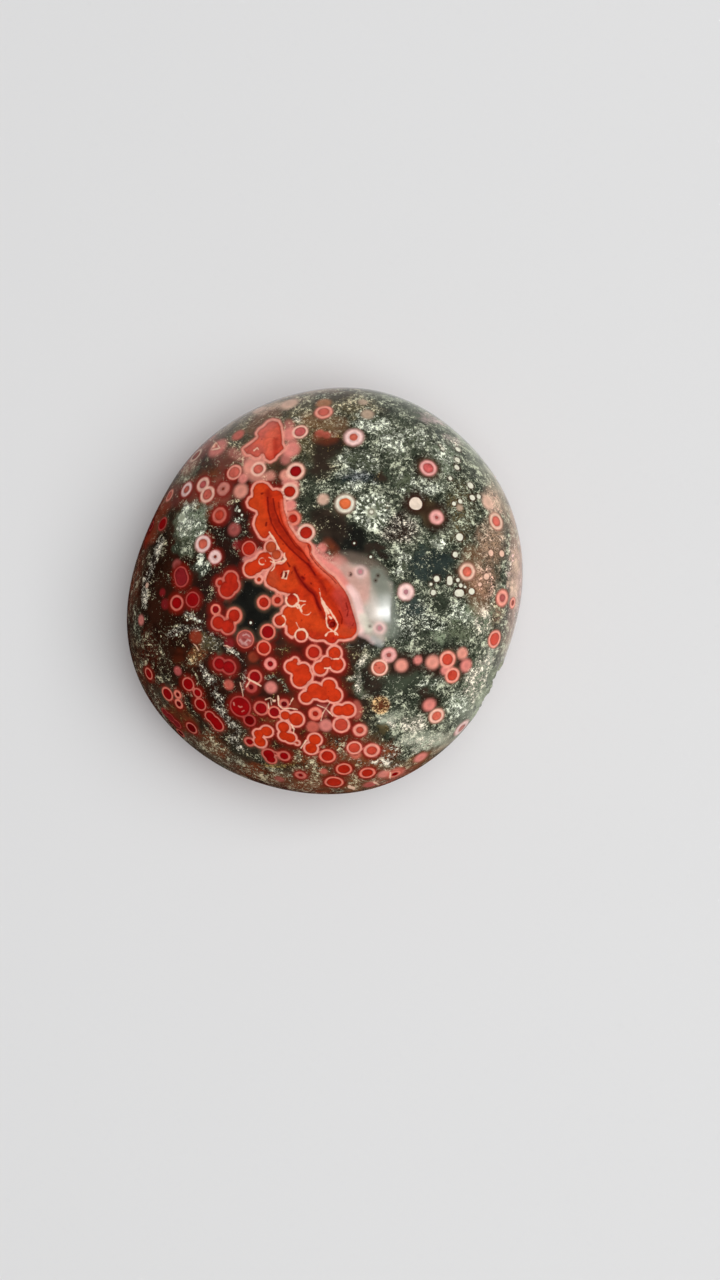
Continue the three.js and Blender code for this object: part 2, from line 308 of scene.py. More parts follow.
# Strokes that paint the inside of the vein and the blob: tint, half width, strength, points.
STROKES = (
    ("orange_red", 1.5, 0.9, ((-11.4, 11.6), (-11.3, 13.5), (-12.2, 16.4), (-11.7, 18.4))),
    ("copper", 1.0, 0.7, ((-9.2, 3.2), (-8.6, 1.6), (-7.6, 1.0))),
    ("orange_red", 1.3, 0.8, ((-7.0, 1.2), (-5.6, 1.6), (-4.8, 3.0))),
    ("orange_red", 2.6, 0.9, ((-5.0, -4.2), (-3.0, -5.0), (-1.2, -6.4))),
    ("orange_red", 0.9, 0.7, ((-7.6, 8.4), (-6.2, 6.2), (-5.2, 4.4))),
    ("brick_red", 0.55, 0.95, (
        (-7.0, 16.4), (-6.9, 15.0), (-6.4, 13.0), (-5.4, 11.0), (-4.1, 9.2), (-3.2, 8.4), (-2.5, 7.4),
        (-1.9, 6.2), (-0.8, 4.9), (0.6, 3.5),
    )),
    ("brick_red", 0.6, 0.85, ((0.6, 3.5), (1.9, 2.3), (3.0, 1.0), (4.0, -0.6))),
    ("rose_red", 1.3, 0.9, ((3.2, -0.4), (4.1, -1.8), (4.9, -3.6), (5.3, -5.4))),
    ("blood", 0.5, 0.35, ((1.4, -1.0), (2.6, -3.2), (3.4, -5.2))),
    ("copper", 0.9, 0.5, ((3.6, -7.0), (4.8, -7.2))),
    ("blood", 0.55, 0.5, (
        (-9.9, 18.2), (-9.2, 15.2), (-8.4, 12.8), (-7.2, 10.8), (-5.6, 8.4), (-4.0, 6.8), (-2.4, 5.0),
    )),
    ("blood", 0.4, 0.7, ((-2.4, 5.0), (-1.4, 3.4), (-0.2, 1.8), (0.8, 0.0))),
    ("blood", 0.42, 0.8, (
        (-5.0, 4.4), (-4.6, 3.6), (-4.0, 2.2), (-2.9, 0.9), (-1.9, 0.2), (-1.2, -0.6), (-0.8, -2.0),
        (-0.2, -3.4), (0.4, -4.7),
    )),
    ("blood", 0.35, 0.8, ((-3.6, 2.7), (-3.3, 2.4))),
    ("scarlet", 0.7, 0.6, ((-2.6, -7.6), (-0.6, -8.0), (1.2, -8.2))),
    ("scarlet", 0.75, 0.9, ((1.7, -5.7), (1.8, -5.7))),
    ("pearl", 0.22, 0.36, ((-14.9, -8.8), (-14.5, -9.3), (-13.8, -9.5))),
    ("pearl", 0.15, 0.4, ((-14.0, -9.2), (-13.5, -8.7), (-13.1, -8.9))),
    ("pearl", 0.13, 0.36, ((-14.4, -7.9), (-13.7, -7.7), (-13.2, -8.1))),
    ("garnet", 0.2, 0.4, ((-14.4, -8.5), (-14.0, -8.7))),
    ("blush", 0.13, 0.55, ((-16.1, -20.2), (-16.0, -20.6))),
    ("blush", 0.12, 0.5, ((-15.2, -20.8), (-14.9, -21.0), (-14.6, -20.9))),
    ("blush", 0.1, 0.45, ((-14.6, -21.8), (-14.2, -21.6))),
    ("brick_red", 1.9, 0.8, ((-10.4, 26.8), (-9.8, 29.2))),
    ("clay", 1.2, 0.8, ((-13.6, 26.0), (-11.6, 25.8))),
    ("clay", 0.9, 0.85, ((-11.2, 28.6), (-10.3, 30.0), (-9.0, 30.7))),
    ("scarlet", 0.45, 0.6, ((-8.6, 27.5), (-8.4, 24.9))),
)

STROKE_EDGE = (0.5, 1.5)  # shares of its half width between which a stroke fades
STROKE_LIMIT = 0.2  # share of the vein's ring that a stroke may paint over

# Thin dark seams in the vein: half width, then points.
SEAMS = (
    (0.12, (
        (-9.9, 17.2), (-9.8, 15.0), (-9.2, 12.5), (-8.2, 10.7), (-6.1, 8.2), (-4.2, 6.4), (-2.4, 4.9),
        (-1.2, 3.1),
    )),
    (0.12, ((-8.9, 17.0), (-8.6, 15.0), (-7.7, 12.7), (-6.2, 10.4), (-4.9, 8.4), (-3.4, 7.2), (-2.4, 5.8))),
    (0.04, ((-7.9, 16.4), (-7.8, 14.6), (-7.2, 12.6), (-6.0, 10.4), (-4.6, 8.6), (-3.3, 7.2), (-2.2, 5.6))),
    (0.13, (
        (-5.0, 4.4), (-4.6, 3.4), (-3.8, 2.1), (-2.9, 0.9), (-2.3, 0.2), (-1.6, -0.3), (-1.2, -1.0),
        (-0.9, -1.9), (-0.6, -2.7), (-0.2, -3.3),
    )),
    (0.17, ((-3.6, 2.7), (-3.35, 2.5))),
    (0.14, ((-5.9, 4.7), (-6.3, 5.3))),
    (0.14, ((-2.0, 1.6), (-1.9, 1.5))),
    (0.14, ((-11.0, 17.9), (-10.8, 18.0))),
    (0.14, ((-10.2, 12.1), (-10.1, 12.6))),
    (0.12, ((-6.95, 2.95), (-6.6, 3.3))),
    (0.06, (
        (-2.5, 8.4), (-2.2, 7.6), (-2.3, 6.9), (-1.5, 5.7), (-0.6, 4.6), (0.4, 3.7), (1.6, 2.7), (2.6, 1.6),
    )),
    (0.05, ((3.1, -3.4), (3.7, -4.6), (3.6, -5.8))),
    (0.05, ((4.4, -2.0), (4.8, -3.4), (4.6, -4.4))),
    (0.09, (
        (1.02, -5.7), (1.25, -5.15), (1.75, -4.95), (2.25, -5.2), (2.45, -5.75), (2.2, -6.25), (1.65, -6.45),
        (1.2, -6.2), (1.02, -5.7),
    )),
    (0.08, ((1.5, -5.7), (1.7, -5.5), (1.95, -5.7), (1.7, -5.95), (1.5, -5.7))),
)

# Lines and slivers of pale quartz: half width, then points.
QUARTZ = (
    (0.06, ((-9.6, 10.9), (-9.0, 10.0), (-8.4, 9.1), (-8.0, 8.0))),
    (0.14, ((-9.2, 10.3), (-8.5, 9.3))),
    (0.12, ((-8.1, 8.3), (-7.8, 7.9))),
    (0.06, ((-6.8, 7.1), (-6.9, 6.4), (-6.5, 5.9), (-6.9, 5.5), (-7.6, 5.6), (-8.6, 5.3), (-9.4, 5.6))),
    (0.12, ((-6.9, 6.3), (-6.6, 5.9), (-7.1, 5.7))),
    (0.04, ((-0.5, 0.6), (-0.3, -0.6), (-0.2, -1.0))),
    (0.1, ((-0.15, -1.1), (0.2, -1.7), (0.8, -2.6), (1.4, -3.3), (2.0, -4.3), (2.5, -5.0))),
    (0.08, ((-0.15, -1.1), (0.1, -2.2), (0.5, -3.0), (0.8, -3.9), (0.8, -4.9))),
    (0.16, ((0.3, -2.0), (0.8, -3.1), (1.2, -3.9))),
    (0.1, ((1.3, -4.4), (1.7, -4.8))),
    (0.07, ((0.8, -4.9), (0.85, -5.7), (1.1, -6.5), (1.7, -6.9), (2.3, -7.3), (2.5, -7.8))),
    (0.08, ((2.5, -5.0), (2.9, -5.9), (2.7, -6.6), (2.3, -7.2))),
    (0.11, ((2.6, -6.7), (2.3, -7.1))),
    (0.18, ((-4.55, -2.2), (-4.2, -2.4))),
    (0.07, ((-4.5, -2.0), (-4.1, -1.6), (-3.0, -1.7))),
    (0.09, ((-4.3, -2.4), (-3.9, -3.1), (-3.7, -3.6))),
    (0.06, ((-4.9, -2.4), (-4.4, -2.9))),
    (0.06, ((-4.7, -5.6), (-4.1, -6.8))),
    (0.07, ((-7.25, 2.55), (-6.95, 3.75), (-6.1, 3.85), (-6.55, 2.45), (-7.25, 2.55))),
    (0.06, ((2.1, -12.2), (3.0, -12.2))),
    (0.06, ((0.5, -13.9), (1.6, -13.9))),
    (0.03, ((-23.5, -9.4), (-22.9, -9.9), (-22.5, -10.7))),
    (0.05, ((-17.9, -9.8), (-17.3, -9.8), (-16.7, -10.2))),
    (0.1, ((-13.4, -15.9), (-12.2, -16.5), (-11.2, -17.1))),
    (0.04, ((-13.6, -15.6), (-13.2, -16.3), (-13.8, -17.3))),
    (0.05, ((-14.9, -16.5), (-14.6, -17.8), (-14.4, -19.0))),
    (0.06, ((-9.8, -20.2), (-9.7, -21.2))),
    (0.07, ((-8.0, -19.0), (-7.9, -20.6), (-7.2, -21.3), (-5.8, -21.2), (-4.5, -21.4))),
    (0.06, ((-5.3, -19.4), (-5.9, -20.5))),
    (0.06, ((-10.3, -19.6), (-9.4, -19.3), (-8.6, -19.9))),
    (0.12, ((-8.9, -19.8), (-8.6, -19.8))),
    (0.05, ((-9.4, -19.3), (-9.2, -20.6))),
    (0.1, ((-2.9, -27.1), (-3.8, -28.4))),
    (0.08, ((-5.6, -24.2), (-5.1, -24.9), (-5.2, -25.7))),
    (0.14, ((-5.4, -24.6), (-5.1, -25.0))),
    (0.1, ((12.5, -33.0), (12.4, -33.8))),
    (0.25, ((5.0, -35.5), (5.8, -35.8))),
    (0.1, ((9.5, -34.7), (10.3, -35.1))),
    (0.1, ((-12.4, 25.8), (-11.8, 26.3), (-11.6, 26.0))),
    (0.06, ((-20.3, 25.9), (-19.4, 27.3), (-18.6, 26.2), (-20.3, 25.9))),
    (0.04, ((1.4, -20.2), (0.2, -22.0), (-0.2, -23.4))),
    (0.04, ((-0.8, -20.6), (0.6, -21.2), (2.0, -22.6))),
)
# Rings that show inside the vein: half width, x, y and radius, then from and to in degrees.
ARCS = (
    (0.12, -5.4, -1.5, 1.15, -200, 70),
    (0.12, -3.8, -7.9, 1.1, -20, 200),
    (0.1, 1.8, -8.3, 1.15, 20, 160),
    (0.1, -7.7, -5.2, 1.05, -60, 60),
    (0.03, -2.9, -3.2, 1.0, 100, 330),
    (0.05, -9.9, 5.0, 1.3, -60, 80),
    (0.03, -10.9, 5.6, 0.6, 0, 300),
)
ARC_POINTS = 14
SMALL_DOT = 0.35  # radius below which a dot or a stroke gets a finer mesh

# Outline of the milky chalcedony beside the vein, and how soft its edge is. Its pale colour is partly
# the stone's own milk and partly a painted glare of the window above it.
MILK_AND_GLARE = (
    (1.8, 3.6), (2.8, 4.5), (4.4, 5.1), (6.2, 5.4), (8.2, 4.9), (9.6, 4.3), (10.6, 3.1), (11.7, 2.2),
    (12.7, 1.6), (12.6, -2.8), (12.3, -6.5), (11.8, -8.2), (10.9, -9.6), (9.8, -9.3), (8.8, -8.5),
    (7.2, -7.4), (6.6, -6.8), (6.2, -5.4), (5.0, -1.6), (3.2, 1.6),
)
MILK_AND_GLARE_SOFTNESS = 0.55
MILK_AND_GLARE_STRENGTH = 0.94

# Soft bands in the depth of the stone: tint, half width, strength, points.
HALOS = (
    ("smoke", 1.2, 0.8, ((3.2, 6.2), (5.2, 6.2), (7.6, 5.5), (9.6, 4.5), (10.9, 3.2))),
    ("milk_green", 1.7, 0.85, (
        (9.9, 3.0), (10.9, 1.4), (11.4, -0.6), (11.9, -2.6), (12.3, -4.6), (12.4, -7.0),
    )),
    ("clay", 0.9, 0.4, ((2.6, 6.2), (3.6, 5.6))),
    # Pink milk beside the vein: partly the stone's pink halo, partly painted glare of the window.
    ("milk_pink", 1.6, 0.85, ((3.2, 4.6), (4.8, 3.2), (6.2, 1.0), (7.0, -1.0))),
    ("milk_pink", 0.8, 0.7, ((6.2, 3.8), (7.9, 3.4), (8.1, 1.4), (7.8, -0.6))),
    ("petal", 0.55, 0.9, ((-1.6, 8.2), (-1.0, 6.9), (0.2, 5.5))),
    ("petal", 0.8, 0.9, ((0.6, 5.3), (1.6, 4.5), (2.8, 3.4), (3.8, 2.0), (4.8, 0.4))),
    ("petal", 0.7, 0.35, ((1.8, 5.9), (3.0, 5.4))),
    ("petal", 0.6, 0.6, ((0.1, 6.7), (0.9, 6.4))),
    ("pearl", 0.8, 0.9, ((5.0, 0.6), (6.0, -0.6), (6.6, -2.4), (7.0, -4.2), (7.2, -5.6), (7.0, -6.8))),
    ("ivory", 0.8, 0.7, ((7.4, -4.6), (7.8, -5.8), (8.6, -6.6))),
    ("pearl", 0.45, 0.5, ((6.9, -7.7), (8.2, -8.2), (9.4, -9.1))),
    ("lilac", 0.7, 0.6, ((9.4, -8.6), (10.6, -9.4))),
    # Pale washes over the two eyes in the milk: painted glare of the window, which fades them.
    ("pearl", 1.05, 0.92, ((7.0, 3.7), (7.1, 3.7))),
    ("pearl", 1.1, 0.98, ((10.5, -6.6), (10.6, -6.6))),
    ("petal", 0.7, 0.7, ((-13.8, 5.9), (-12.4, 6.4), (-11.4, 7.4))),
    ("petal", 0.6, 0.7, ((-10.9, 2.6), (-10.4, 3.4))),
    ("petal", 0.5, 0.7, ((-7.4, 15.6), (-6.4, 15.2), (-5.4, 15.8))),
    ("petal", 0.7, 0.75, ((-6.6, 19.9), (-5.4, 20.0), (-4.8, 19.6))),
    ("clay", 0.7, 0.6, ((6.2, -20.4), (6.8, -21.4), (6.4, -22.6))),
    ("blush", 0.9, 0.6, (
        (-9.4, 21.2), (-10.4, 20.9), (-12.4, 20.9), (-13.4, 21.9), (-12.8, 23.6), (-11.0, 24.0),
    )),
    ("petal", 1.0, 0.4, ((-16.2, 25.4), (-13.8, 24.2), (-11.4, 23.2))),
    ("petal", 1.0, 0.55, ((-6.6, 24.2), (-5.4, 27.0), (-6.0, 30.4))),
    ("rust", 1.2, 0.4, ((-12.6, 29.6), (-11.4, 31.4), (-8.6, 32.6))),
    ("dusk", 2.1, 0.3, ((-28.6, 17.2), (-25.0, 18.0), (-21.4, 18.8), (-18.4, 18.2), (-18.4, 14.6))),
    ("dusk", 1.8, 0.28, ((-18.4, 18.6), (-16.6, 22.2), (-19.0, 25.8))),
    ("tawny", 1.6, 0.14, ((-8.0, -34.0), (-3.0, -34.6), (2.0, -34.4), (7.0, -34.2), (11.6, -33.0))),
    ("tawny", 1.6, 0.16, ((2.0, -30.8), (5.0, -30.6), (9.0, -31.0), (10.6, -29.0), (7.8, -27.0))),
    ("rust", 1.1, 0.5, ((-0.8, 28.2), (0.8, 27.8), (2.0, 28.2))),
    ("rust", 1.0, 0.5, ((1.0, 8.9), (2.2, 7.6))),
    ("chalk", 0.9, 0.22, ((11.4, -23.4), (12.4, -22.9), (13.6, -22.4))),
    ("chalk", 1.0, 0.3, ((15.4, -27.0), (17.4, -26.0), (19.4, -26.4), (21.8, -27.2))),
    ("tawny", 1.8, 0.24, ((27.4, 6.8), (27.2, 3.8), (27.8, 0.6), (29.0, -2.6))),
    ("tawny", 1.5, 0.25, ((-2.6, 31.2), (0.6, 31.0), (3.4, 30.4))),
    ("clay", 1.4, 0.25, ((-24.8, 22.6), (-22.8, 25.6), (-20.6, 28.2))),
    ("copper", 1.2, 0.35, ((-31.4, 10.0), (-30.2, 13.6), (-28.8, 16.0))),
    ("rust", 1.3, 0.14, ((-26.4, -21.6), (-23.6, -25.8), (-20.4, -28.4), (-16.0, -30.8), (-11.6, -32.4))),
)

HALO_EDGE = (0.4, 1.5)  # shares of its half width between which a band fades

# Regions of the ground on the face: x, y, reach in x and y, ground tint, fleck tint, fleck density.
REGIONS = (
    (18.0, 0.0, 26.0, 40.0, "pine", "lichen", 0.56),
    # Dark loam over the left half: the ground's own dark brown, and painted shade on the side away from the
    # light.
    (-21.0, 0.0, 19.0, 38.0, "loam", "straw", 0.14),
    (-9.0, 29.5, 13.0, 8.0, "olive", "straw", 0.45),
    (-3.0, -19.0, 12.0, 17.0, "umber", "gold", 0.12),
    (4.0, -31.0, 10.0, 6.0, "chestnut", "straw", 0.46),
    (-12.0, -3.5, 6.5, 8.0, "night", "frost", -0.4),
    (-8.0, 16.0, 3.0, 8.0, "umber", "straw", 0.15),
    (-16.5, 11.0, 3.5, 4.0, "loam", "lichen", 0.2),
    (4.8, 9.5, 4.4, 3.4, "night", "lichen", 0.02),
    (0.2, 24.2, 3.0, 4.0, "bark", "straw", 0.0),
    (1.0, 12.5, 3.6, 4.4, "bark", "straw", -0.02),
    (9.5, 7.4, 3.0, 1.2, "bark", "lichen", 0.1),
    (1.9, 8.0, 1.0, 0.8, "chestnut", "gold", 0.0),
    (2.5, 27.0, 3.6, 2.0, "bark", "gold", 0.15),
    (6.0, 34.0, 5.0, 2.6, "olive", "straw", 0.5),
    (9.0, 31.0, 3.5, 2.2, "moss", "frost", 0.62),
    (6.5, 23.6, 4.6, 2.4, "moss", "frost", 0.52),
    (7.0, 20.8, 4.0, 1.4, "teal", "lilac", 0.55),
    (11.0, 21.0, 1.4, 1.3, "bark", "gold", 0.1),
    (14.0, 11.2, 3.4, 2.6, "bark", "cream", 0.5),
    (19.5, 15.0, 1.8, 2.6, "olive", "gold", 0.0),
    (20.0, 5.0, 4.4, 3.8, "teal", "lichen", 0.25),
    (9.0, 14.6, 3.4, 3.2, "moss", "frost", 0.75),
    (11.5, 15.0, 1.1, 0.5, "sand", "cream", 0.3),
    (5.2, 19.2, 2.6, 1.3, "moss", "frost", 0.65),
    (13.0, 28.0, 3.0, 3.2, "moss", "frost", 0.48),
    (17.5, 28.5, 3.0, 2.4, "moss", "frost", 0.6),
    (22.5, 24.5, 2.6, 4.0, "sage", "frost", 0.62),
    (15.2, 20.0, 2.0, 2.2, "moss", "frost", 0.5),
    (19.5, 18.8, 2.6, 1.6, "moss", "frost", 0.75),
    (25.5, 14.5, 2.6, 6.0, "olive", "lichen", 0.5),
    (21.6, 8.8, 1.6, 1.6, "moss", "frost", 0.75),
    (15.0, 5.2, 1.8, 2.0, "moss", "frost", 0.6),
    (17.0, -3.0, 2.4, 2.2, "teal", "frost", 0.3),
    (14.7, -6.6, 2.0, 2.8, "pine", "frost", 0.5),
    (25.5, -3.8, 3.2, 2.4, "sage", "frost", 0.58),
    (29.5, -5.0, 2.4, 3.6, "sage", "cream", 0.64),
    (20.3, -6.0, 2.4, 1.6, "pine", "frost", 0.5),
    (6.8, -13.5, 1.6, 2.2, "moss", "cream", 0.8),
    (6.7, -17.2, 1.6, 2.0, "moss", "cream", 0.75),
    (11.9, -23.3, 1.5, 1.2, "chalk", "cream", 0.5),
    (19.2, -17.1, 2.2, 1.4, "pine", "frost", 0.5),
    (25.0, -20.5, 2.8, 3.4, "sage", "frost", 0.72),
    (16.5, -24.6, 2.8, 1.4, "moss", "cream", 0.62),
    (-4.0, 32.0, 1.8, 1.2, "moss", "cream", 0.8),
    (19.0, -27.2, 5.2, 1.6, "chalk", "cream", 0.55),
    (28.2, -16.5, 2.4, 5.5, "sage", "cream", 0.66),
    # Chalk at the right rim: pale moss, and a painted sheen of the bright surroundings there.
    (30.4, -12.2, 2.2, 2.2, "chalk", "cream", 0.55),
    (21.5, -8.3, 1.8, 1.6, "sage", "lichen", 0.5),
    (21.5, -2.5, 2.2, 2.0, "pine", "lichen", 0.3),
    (25.0, -7.6, 2.8, 2.0, "moss", "lichen", 0.5),
    (15.0, -16.5, 3.4, 2.2, "pine", "lichen", 0.1),
    (9.5, -16.0, 2.4, 3.4, "bark", "lichen", 0.15),
    (19.0, -18.6, 2.0, 1.2, "bark", "lichen", 0.15),
    (11.0, -25.5, 1.3, 1.3, "olive", "gold", 0.1),
    (18.0, -30.4, 2.9, 2.3, "chestnut", "gold", 0.1),
    (-9.5, 33.6, 4.5, 1.4, "sand", "peach", 0.3),
    (15.5, -31.4, 2.4, 1.4, "olive", "straw", 0.55),
    (12.0, -29.6, 2.6, 2.0, "chestnut", "cream", 0.5),
    (31.0, 9.0, 3.0, 5.0, "tan", "sand", 0.55),
    (29.6, 2.0, 3.2, 3.4, "tan", "peach", 0.5),
    (31.5, 16.5, 2.6, 3.6, "sand", "peach", 0.4),
    (31.8, -3.5, 1.6, 2.6, "tan", "straw", 0.6),
    (35.2, 2.0, 1.6, 8.0, "sand", "pearl", 0.3),
    (21.8, 28.5, 1.0, 1.0, "teal", "frost", 0.2),
    (23.9, 27.6, 1.4, 1.8, "mauve", "cream", 0.6),
    (20.5, 31.5, 3.6, 1.3, "mauve", "pearl", 0.3),
    (7.2, -9.4, 2.4, 1.2, "bark", "lilac", 0.1),
    (-22.0, 18.0, 6.5, 6.0, "chestnut", "straw", 0.3),
    (-24.4, 21.8, 3.0, 2.6, "sage", "lichen", 0.6),
    (-23.4, 25.6, 3.2, 2.6, "sand", "straw", 0.45),
    (-14.4, 30.0, 4.0, 2.4, "olive", "straw", 0.5),
    (-24.8, 13.2, 3.0, 3.6, "sage", "frost", 0.78),
    (-22.2, 14.6, 1.8, 2.2, "sage", "frost", 0.62),
    (-22.8, 11.4, 2.0, 2.2, "sage", "frost", 0.64),
    (-24.6, 8.2, 1.8, 2.4, "moss", "lichen", 0.7),
    (-26.6, 8.4, 1.2, 1.8, "pine", "lichen", 0.1),
    (-22.5, 5.2, 1.8, 2.4, "pine", "frost", 0.4),
    (-31.0, 0.0, 4.0, 7.0, "loam", "straw", 0.0),
    (-31.6, 11.4, 2.4, 3.8, "ember", "straw", -0.1),
    (-27.0, -8.0, 3.2, 3.4, "loam", "straw", 0.2),
    (-20.8, -9.3, 2.4, 1.8, "olive", "cream", 0.48),
    (-26.3, -11.5, 2.1, 2.0, "umber", "gold", 0.0),
    (-22.6, -12.0, 1.8, 1.6, "chestnut", "straw", 0.45),
    (-23.0, -10.4, 1.5, 1.7, "chestnut", "amber", 0.42),
    (-26.0, -23.0, 5.0, 3.4, "chestnut", "gold", 0.35),
    (-20.0, -28.0, 4.0, 3.0, "chestnut", "straw", 0.42),
    (-31.6, -12.0, 3.0, 7.0, "umber", "straw", 0.4),
    (-12.0, -33.0, 5.0, 2.4, "chestnut", "straw", 0.46),
    (-1.0, -35.0, 9.0, 2.0, "chestnut", "straw", 0.36),
    (3.0, -27.2, 1.4, 1.1, "umber", "frost", 0.6),
    (-9.2, -23.2, 1.4, 1.2, "chestnut", "amber", 0.5),
)
REGION_EDGE = (0.5, 1.2)  # shares of its reach between which a region fades

# The soft colour of the rim, by azimuth in degrees: azimuth, tint, strength. It is partly the stone's own
# hazy rim and partly painted light: a pale painted sheen along the right and the top, and a darker, warm
# painted shade along the left.
RIM_HAZE_AND_SHEEN = (
    (10, "peach", 0.5), (22, "sand", 0.85), (40, "chalk", 0.75), (55, "chalk", 0.5), (70, "chalk", 0.45),
    (83, "tan", 0.55), (95, "sand", 0.6), (108, "sand", 0.5), (120, "sand", 0.5), (132, "clay", 0.4),
    (142, "tan", 0.5), (152, "rust", 0.6), (162, "ember", 0.6), (175, "copper", 0.45),
    (190, "umber", 0.8), (205, "rust", 0.6), (220, "ember", 0.45), (236, "tan", 0.42),
    (250, "rust", 0.42), (260, "ember", 0.35), (270, "copper", 0.32), (280, "tawny", 0.36),
    (290, "clay", 0.45), (302, "tawny", 0.45), (314, "chalk", 0.7), (324, "chalk", 0.5),
    (332, "chalk", 0.05), (345, "sand", 0.6), (358, "pearl", 0.4),
)
RIM_FADE = (0.1, 0.52)  # sines of the latitudes between which it fades
RIM_MOST = 0.9

# Bands of bright flecks that wind between the orbs: half width, fleck tint, density, points.
FLECK_BANDS = (
    (0.8, "cream", 0.5, (
        (-22.0, -13.7), (-21.0, -15.5), (-19.8, -16.5), (-19.8, -18.5), (-18.3, -19.6), (-19.0, -21.0),
        (-17.5, -23.0), (-16.0, -24.5), (-15.5, -25.5), (-16.3, -26.9), (-15.2, -28.0), (-14.4, -29.4),
    )),
    (0.7, "straw", 0.42, ((-14.4, -29.4), (-12.8, -30.8), (-11.0, -33.0))),
    (0.7, "cream", 0.46, ((-27.7, -7.8), (-25.4, -6.5), (-22.0, -6.9), (-19.9, -8.0))),
    (0.45, "cream", 0.62, (
        (-19.9, -8.0), (-18.2, -9.7), (-16.4, -10.6), (-14.9, -11.9), (-13.9, -14.0), (-14.3, -17.9),
    )),
    (0.7, "cream", 0.56, (
        (-29.4, 9.4), (-30.4, 6.6), (-31.0, 4.4), (-32.0, 2.4), (-32.4, 0.0), (-32.3, -2.6),
    )),
    (0.45, "cream", 0.6, ((-24.9, -3.8), (-23.4, -4.6), (-22.0, -5.4))),
    (0.5, "straw", 0.5, ((-34.2, -8.6), (-33.8, -11.0), (-33.4, -13.6), (-32.0, -16.6))),
    (0.5, "straw", 0.45, ((-29.6, -10.4), (-29.0, -12.8), (-29.6, -15.6))),
    (0.4, "lichen", 0.55, ((-11.2, -16.0), (-9.0, -15.4), (-7.2, -16.6), (-6.4, -18.0))),
    (0.4, "gold", 0.55, ((-13.0, -22.2), (-11.4, -23.4), (-9.0, -23.2), (-7.8, -22.4))),
    (0.5, "gold", 0.5, ((-10.4, -31.4), (-6.6, -31.8), (-3.0, -30.4))),
    (0.8, "straw", 0.52, ((-4.5, -30.2), (-1.6, -31.4), (-1.8, -34.2))),
    (0.7, "straw", 0.52, ((2.8, -30.6), (5.8, -33.4), (6.2, -35.4))),
    (0.5, "cream", 0.45, ((5.6, -30.5), (8.4, -31.0), (11.0, -31.0), (13.6, -31.6))),
    (0.6, "frost", 0.55, ((-15.4, 15.2), (-14.9, 13.8), (-15.6, 12.6))),
)
FLECK_EDGE = (0.5, 1.4)  # shares of its half width between which a band fades

# Moss that grows out from a centre: x, y, radius, number and strength of its rays, ground and fleck tint.
FLOWERS = (
    (9.0, 14.6, 3.5, 18, 0.65, "moss", "frost"),
    (10.7, -20.6, 1.8, 13, 0.4, "chestnut", "amber"),
)
FLOWER_DENSITY = 0.56  # density of its flecks, before the rays make it more and less
# Shares of its radius between which its ground fades, its rays begin and its rays fade.
FLOWER_EDGE = (0.75, 1.1)
FLOWER_HEART = (0.1, 0.25)
FLOWER_RAYS_EDGE = (0.6, 1.1)

# The curve in which the floor rises to a low wall, in metres.
COVE_CURVE = 0.6
COVE_STEPS = 12
COVE_SEGMENTS = 96

# The ceiling light, in metres and watts, and the air, with how much paler it is where it is seen.
CEILING_PLACE = (0.7, 0.0, 1.75)
CEILING_SIZE = 2.2
CEILING_POWER = 46.5
AIR_TINT = (0.16, 0.16, 0.165, 1.0)
AIR_LIFT = 1.15

# The window pane above the stone, in metres: its corners in x and y, and its height.
WINDOW_LOW = (-0.15, -0.24)
WINDOW_HIGH = (0.187, 0.14)
WINDOW_UP = 0.9
# Its light: a veil, and a brighter glare in a bar of it. Each side is where it starts and is full.
VEIL_LIGHT = 30.0
VEIL_LEFT = (-0.03, 0.17)
VEIL_TOP = (0.0, -0.1)
VEIL_BOTTOM = (-0.15, -0.12)
VEIL_BEND = 1.2
GLARE_LIGHT = 24.0
GLARE_LEFT = (0.078, 0.11)
GLARE_TOP = (-0.068, -0.094)
GLARE_BOTTOM = (-0.122, -0.106)

# The dark card that stands round the left and lower rim: from and to in degrees, radius and height
# of its near edge, and how far it spreads out and up from there, in millimetres.
CARD_FROM = 118
CARD_TO = 335
CARD_RADIUS = 33.0
CARD_LIFT = 0.5
CARD_WIDTH = 55.0
CARD_HEIGHT = 90.0
CARD_ENDS = 0.15  # share of its length over which it fades at either end
CARD_TOP = 0.3  # share of its width over which it fades at its far edge
CARD_TINT = (0.11, 0.07, 0.06)

SENSOR = 36.0  # width of the camera's sensor, in millimetres

# The noise that makes edges wander. Blender would seed it from the clock.
NOISE_SEED = 1795517149

# How many marks the fixed seed draws on the sides and the back.
SEED = 7
HIDDEN_ORBS = 250
HIDDEN_CLUSTERS = 26
HIDDEN_DISCS = 60
HIDDEN_REGIONS = 90
HIDDEN_BELOW = -0.12  # the sine of the latitude below which the seed's marks lie
# Their sizes in millimetres, each drawn between two bounds.
REGION_SIZES = (2.0, 7.0)
REGION_STRETCH = (0.7, 1.4)
CORE_SIZES = (0.7, 1.15)
RING_WIDTHS = (0.4, 0.6)
ORB_SPACING = 2.4  # the least distance of an orb from those drawn shortly before it
ORBS_BEFORE = 200
CLUSTER_CORES = (3, 8)
CLUSTER_CORE_SIZES = (0.9, 1.3)
CLUSTER_STEP = 0.03  # from one core of a cluster to the next, as a share of the pebble's radius
CLUSTER_RING = 0.42
DEEP_SIZES = (0.8, 1.5)
DOT_SIZES = (0.25, 0.6)
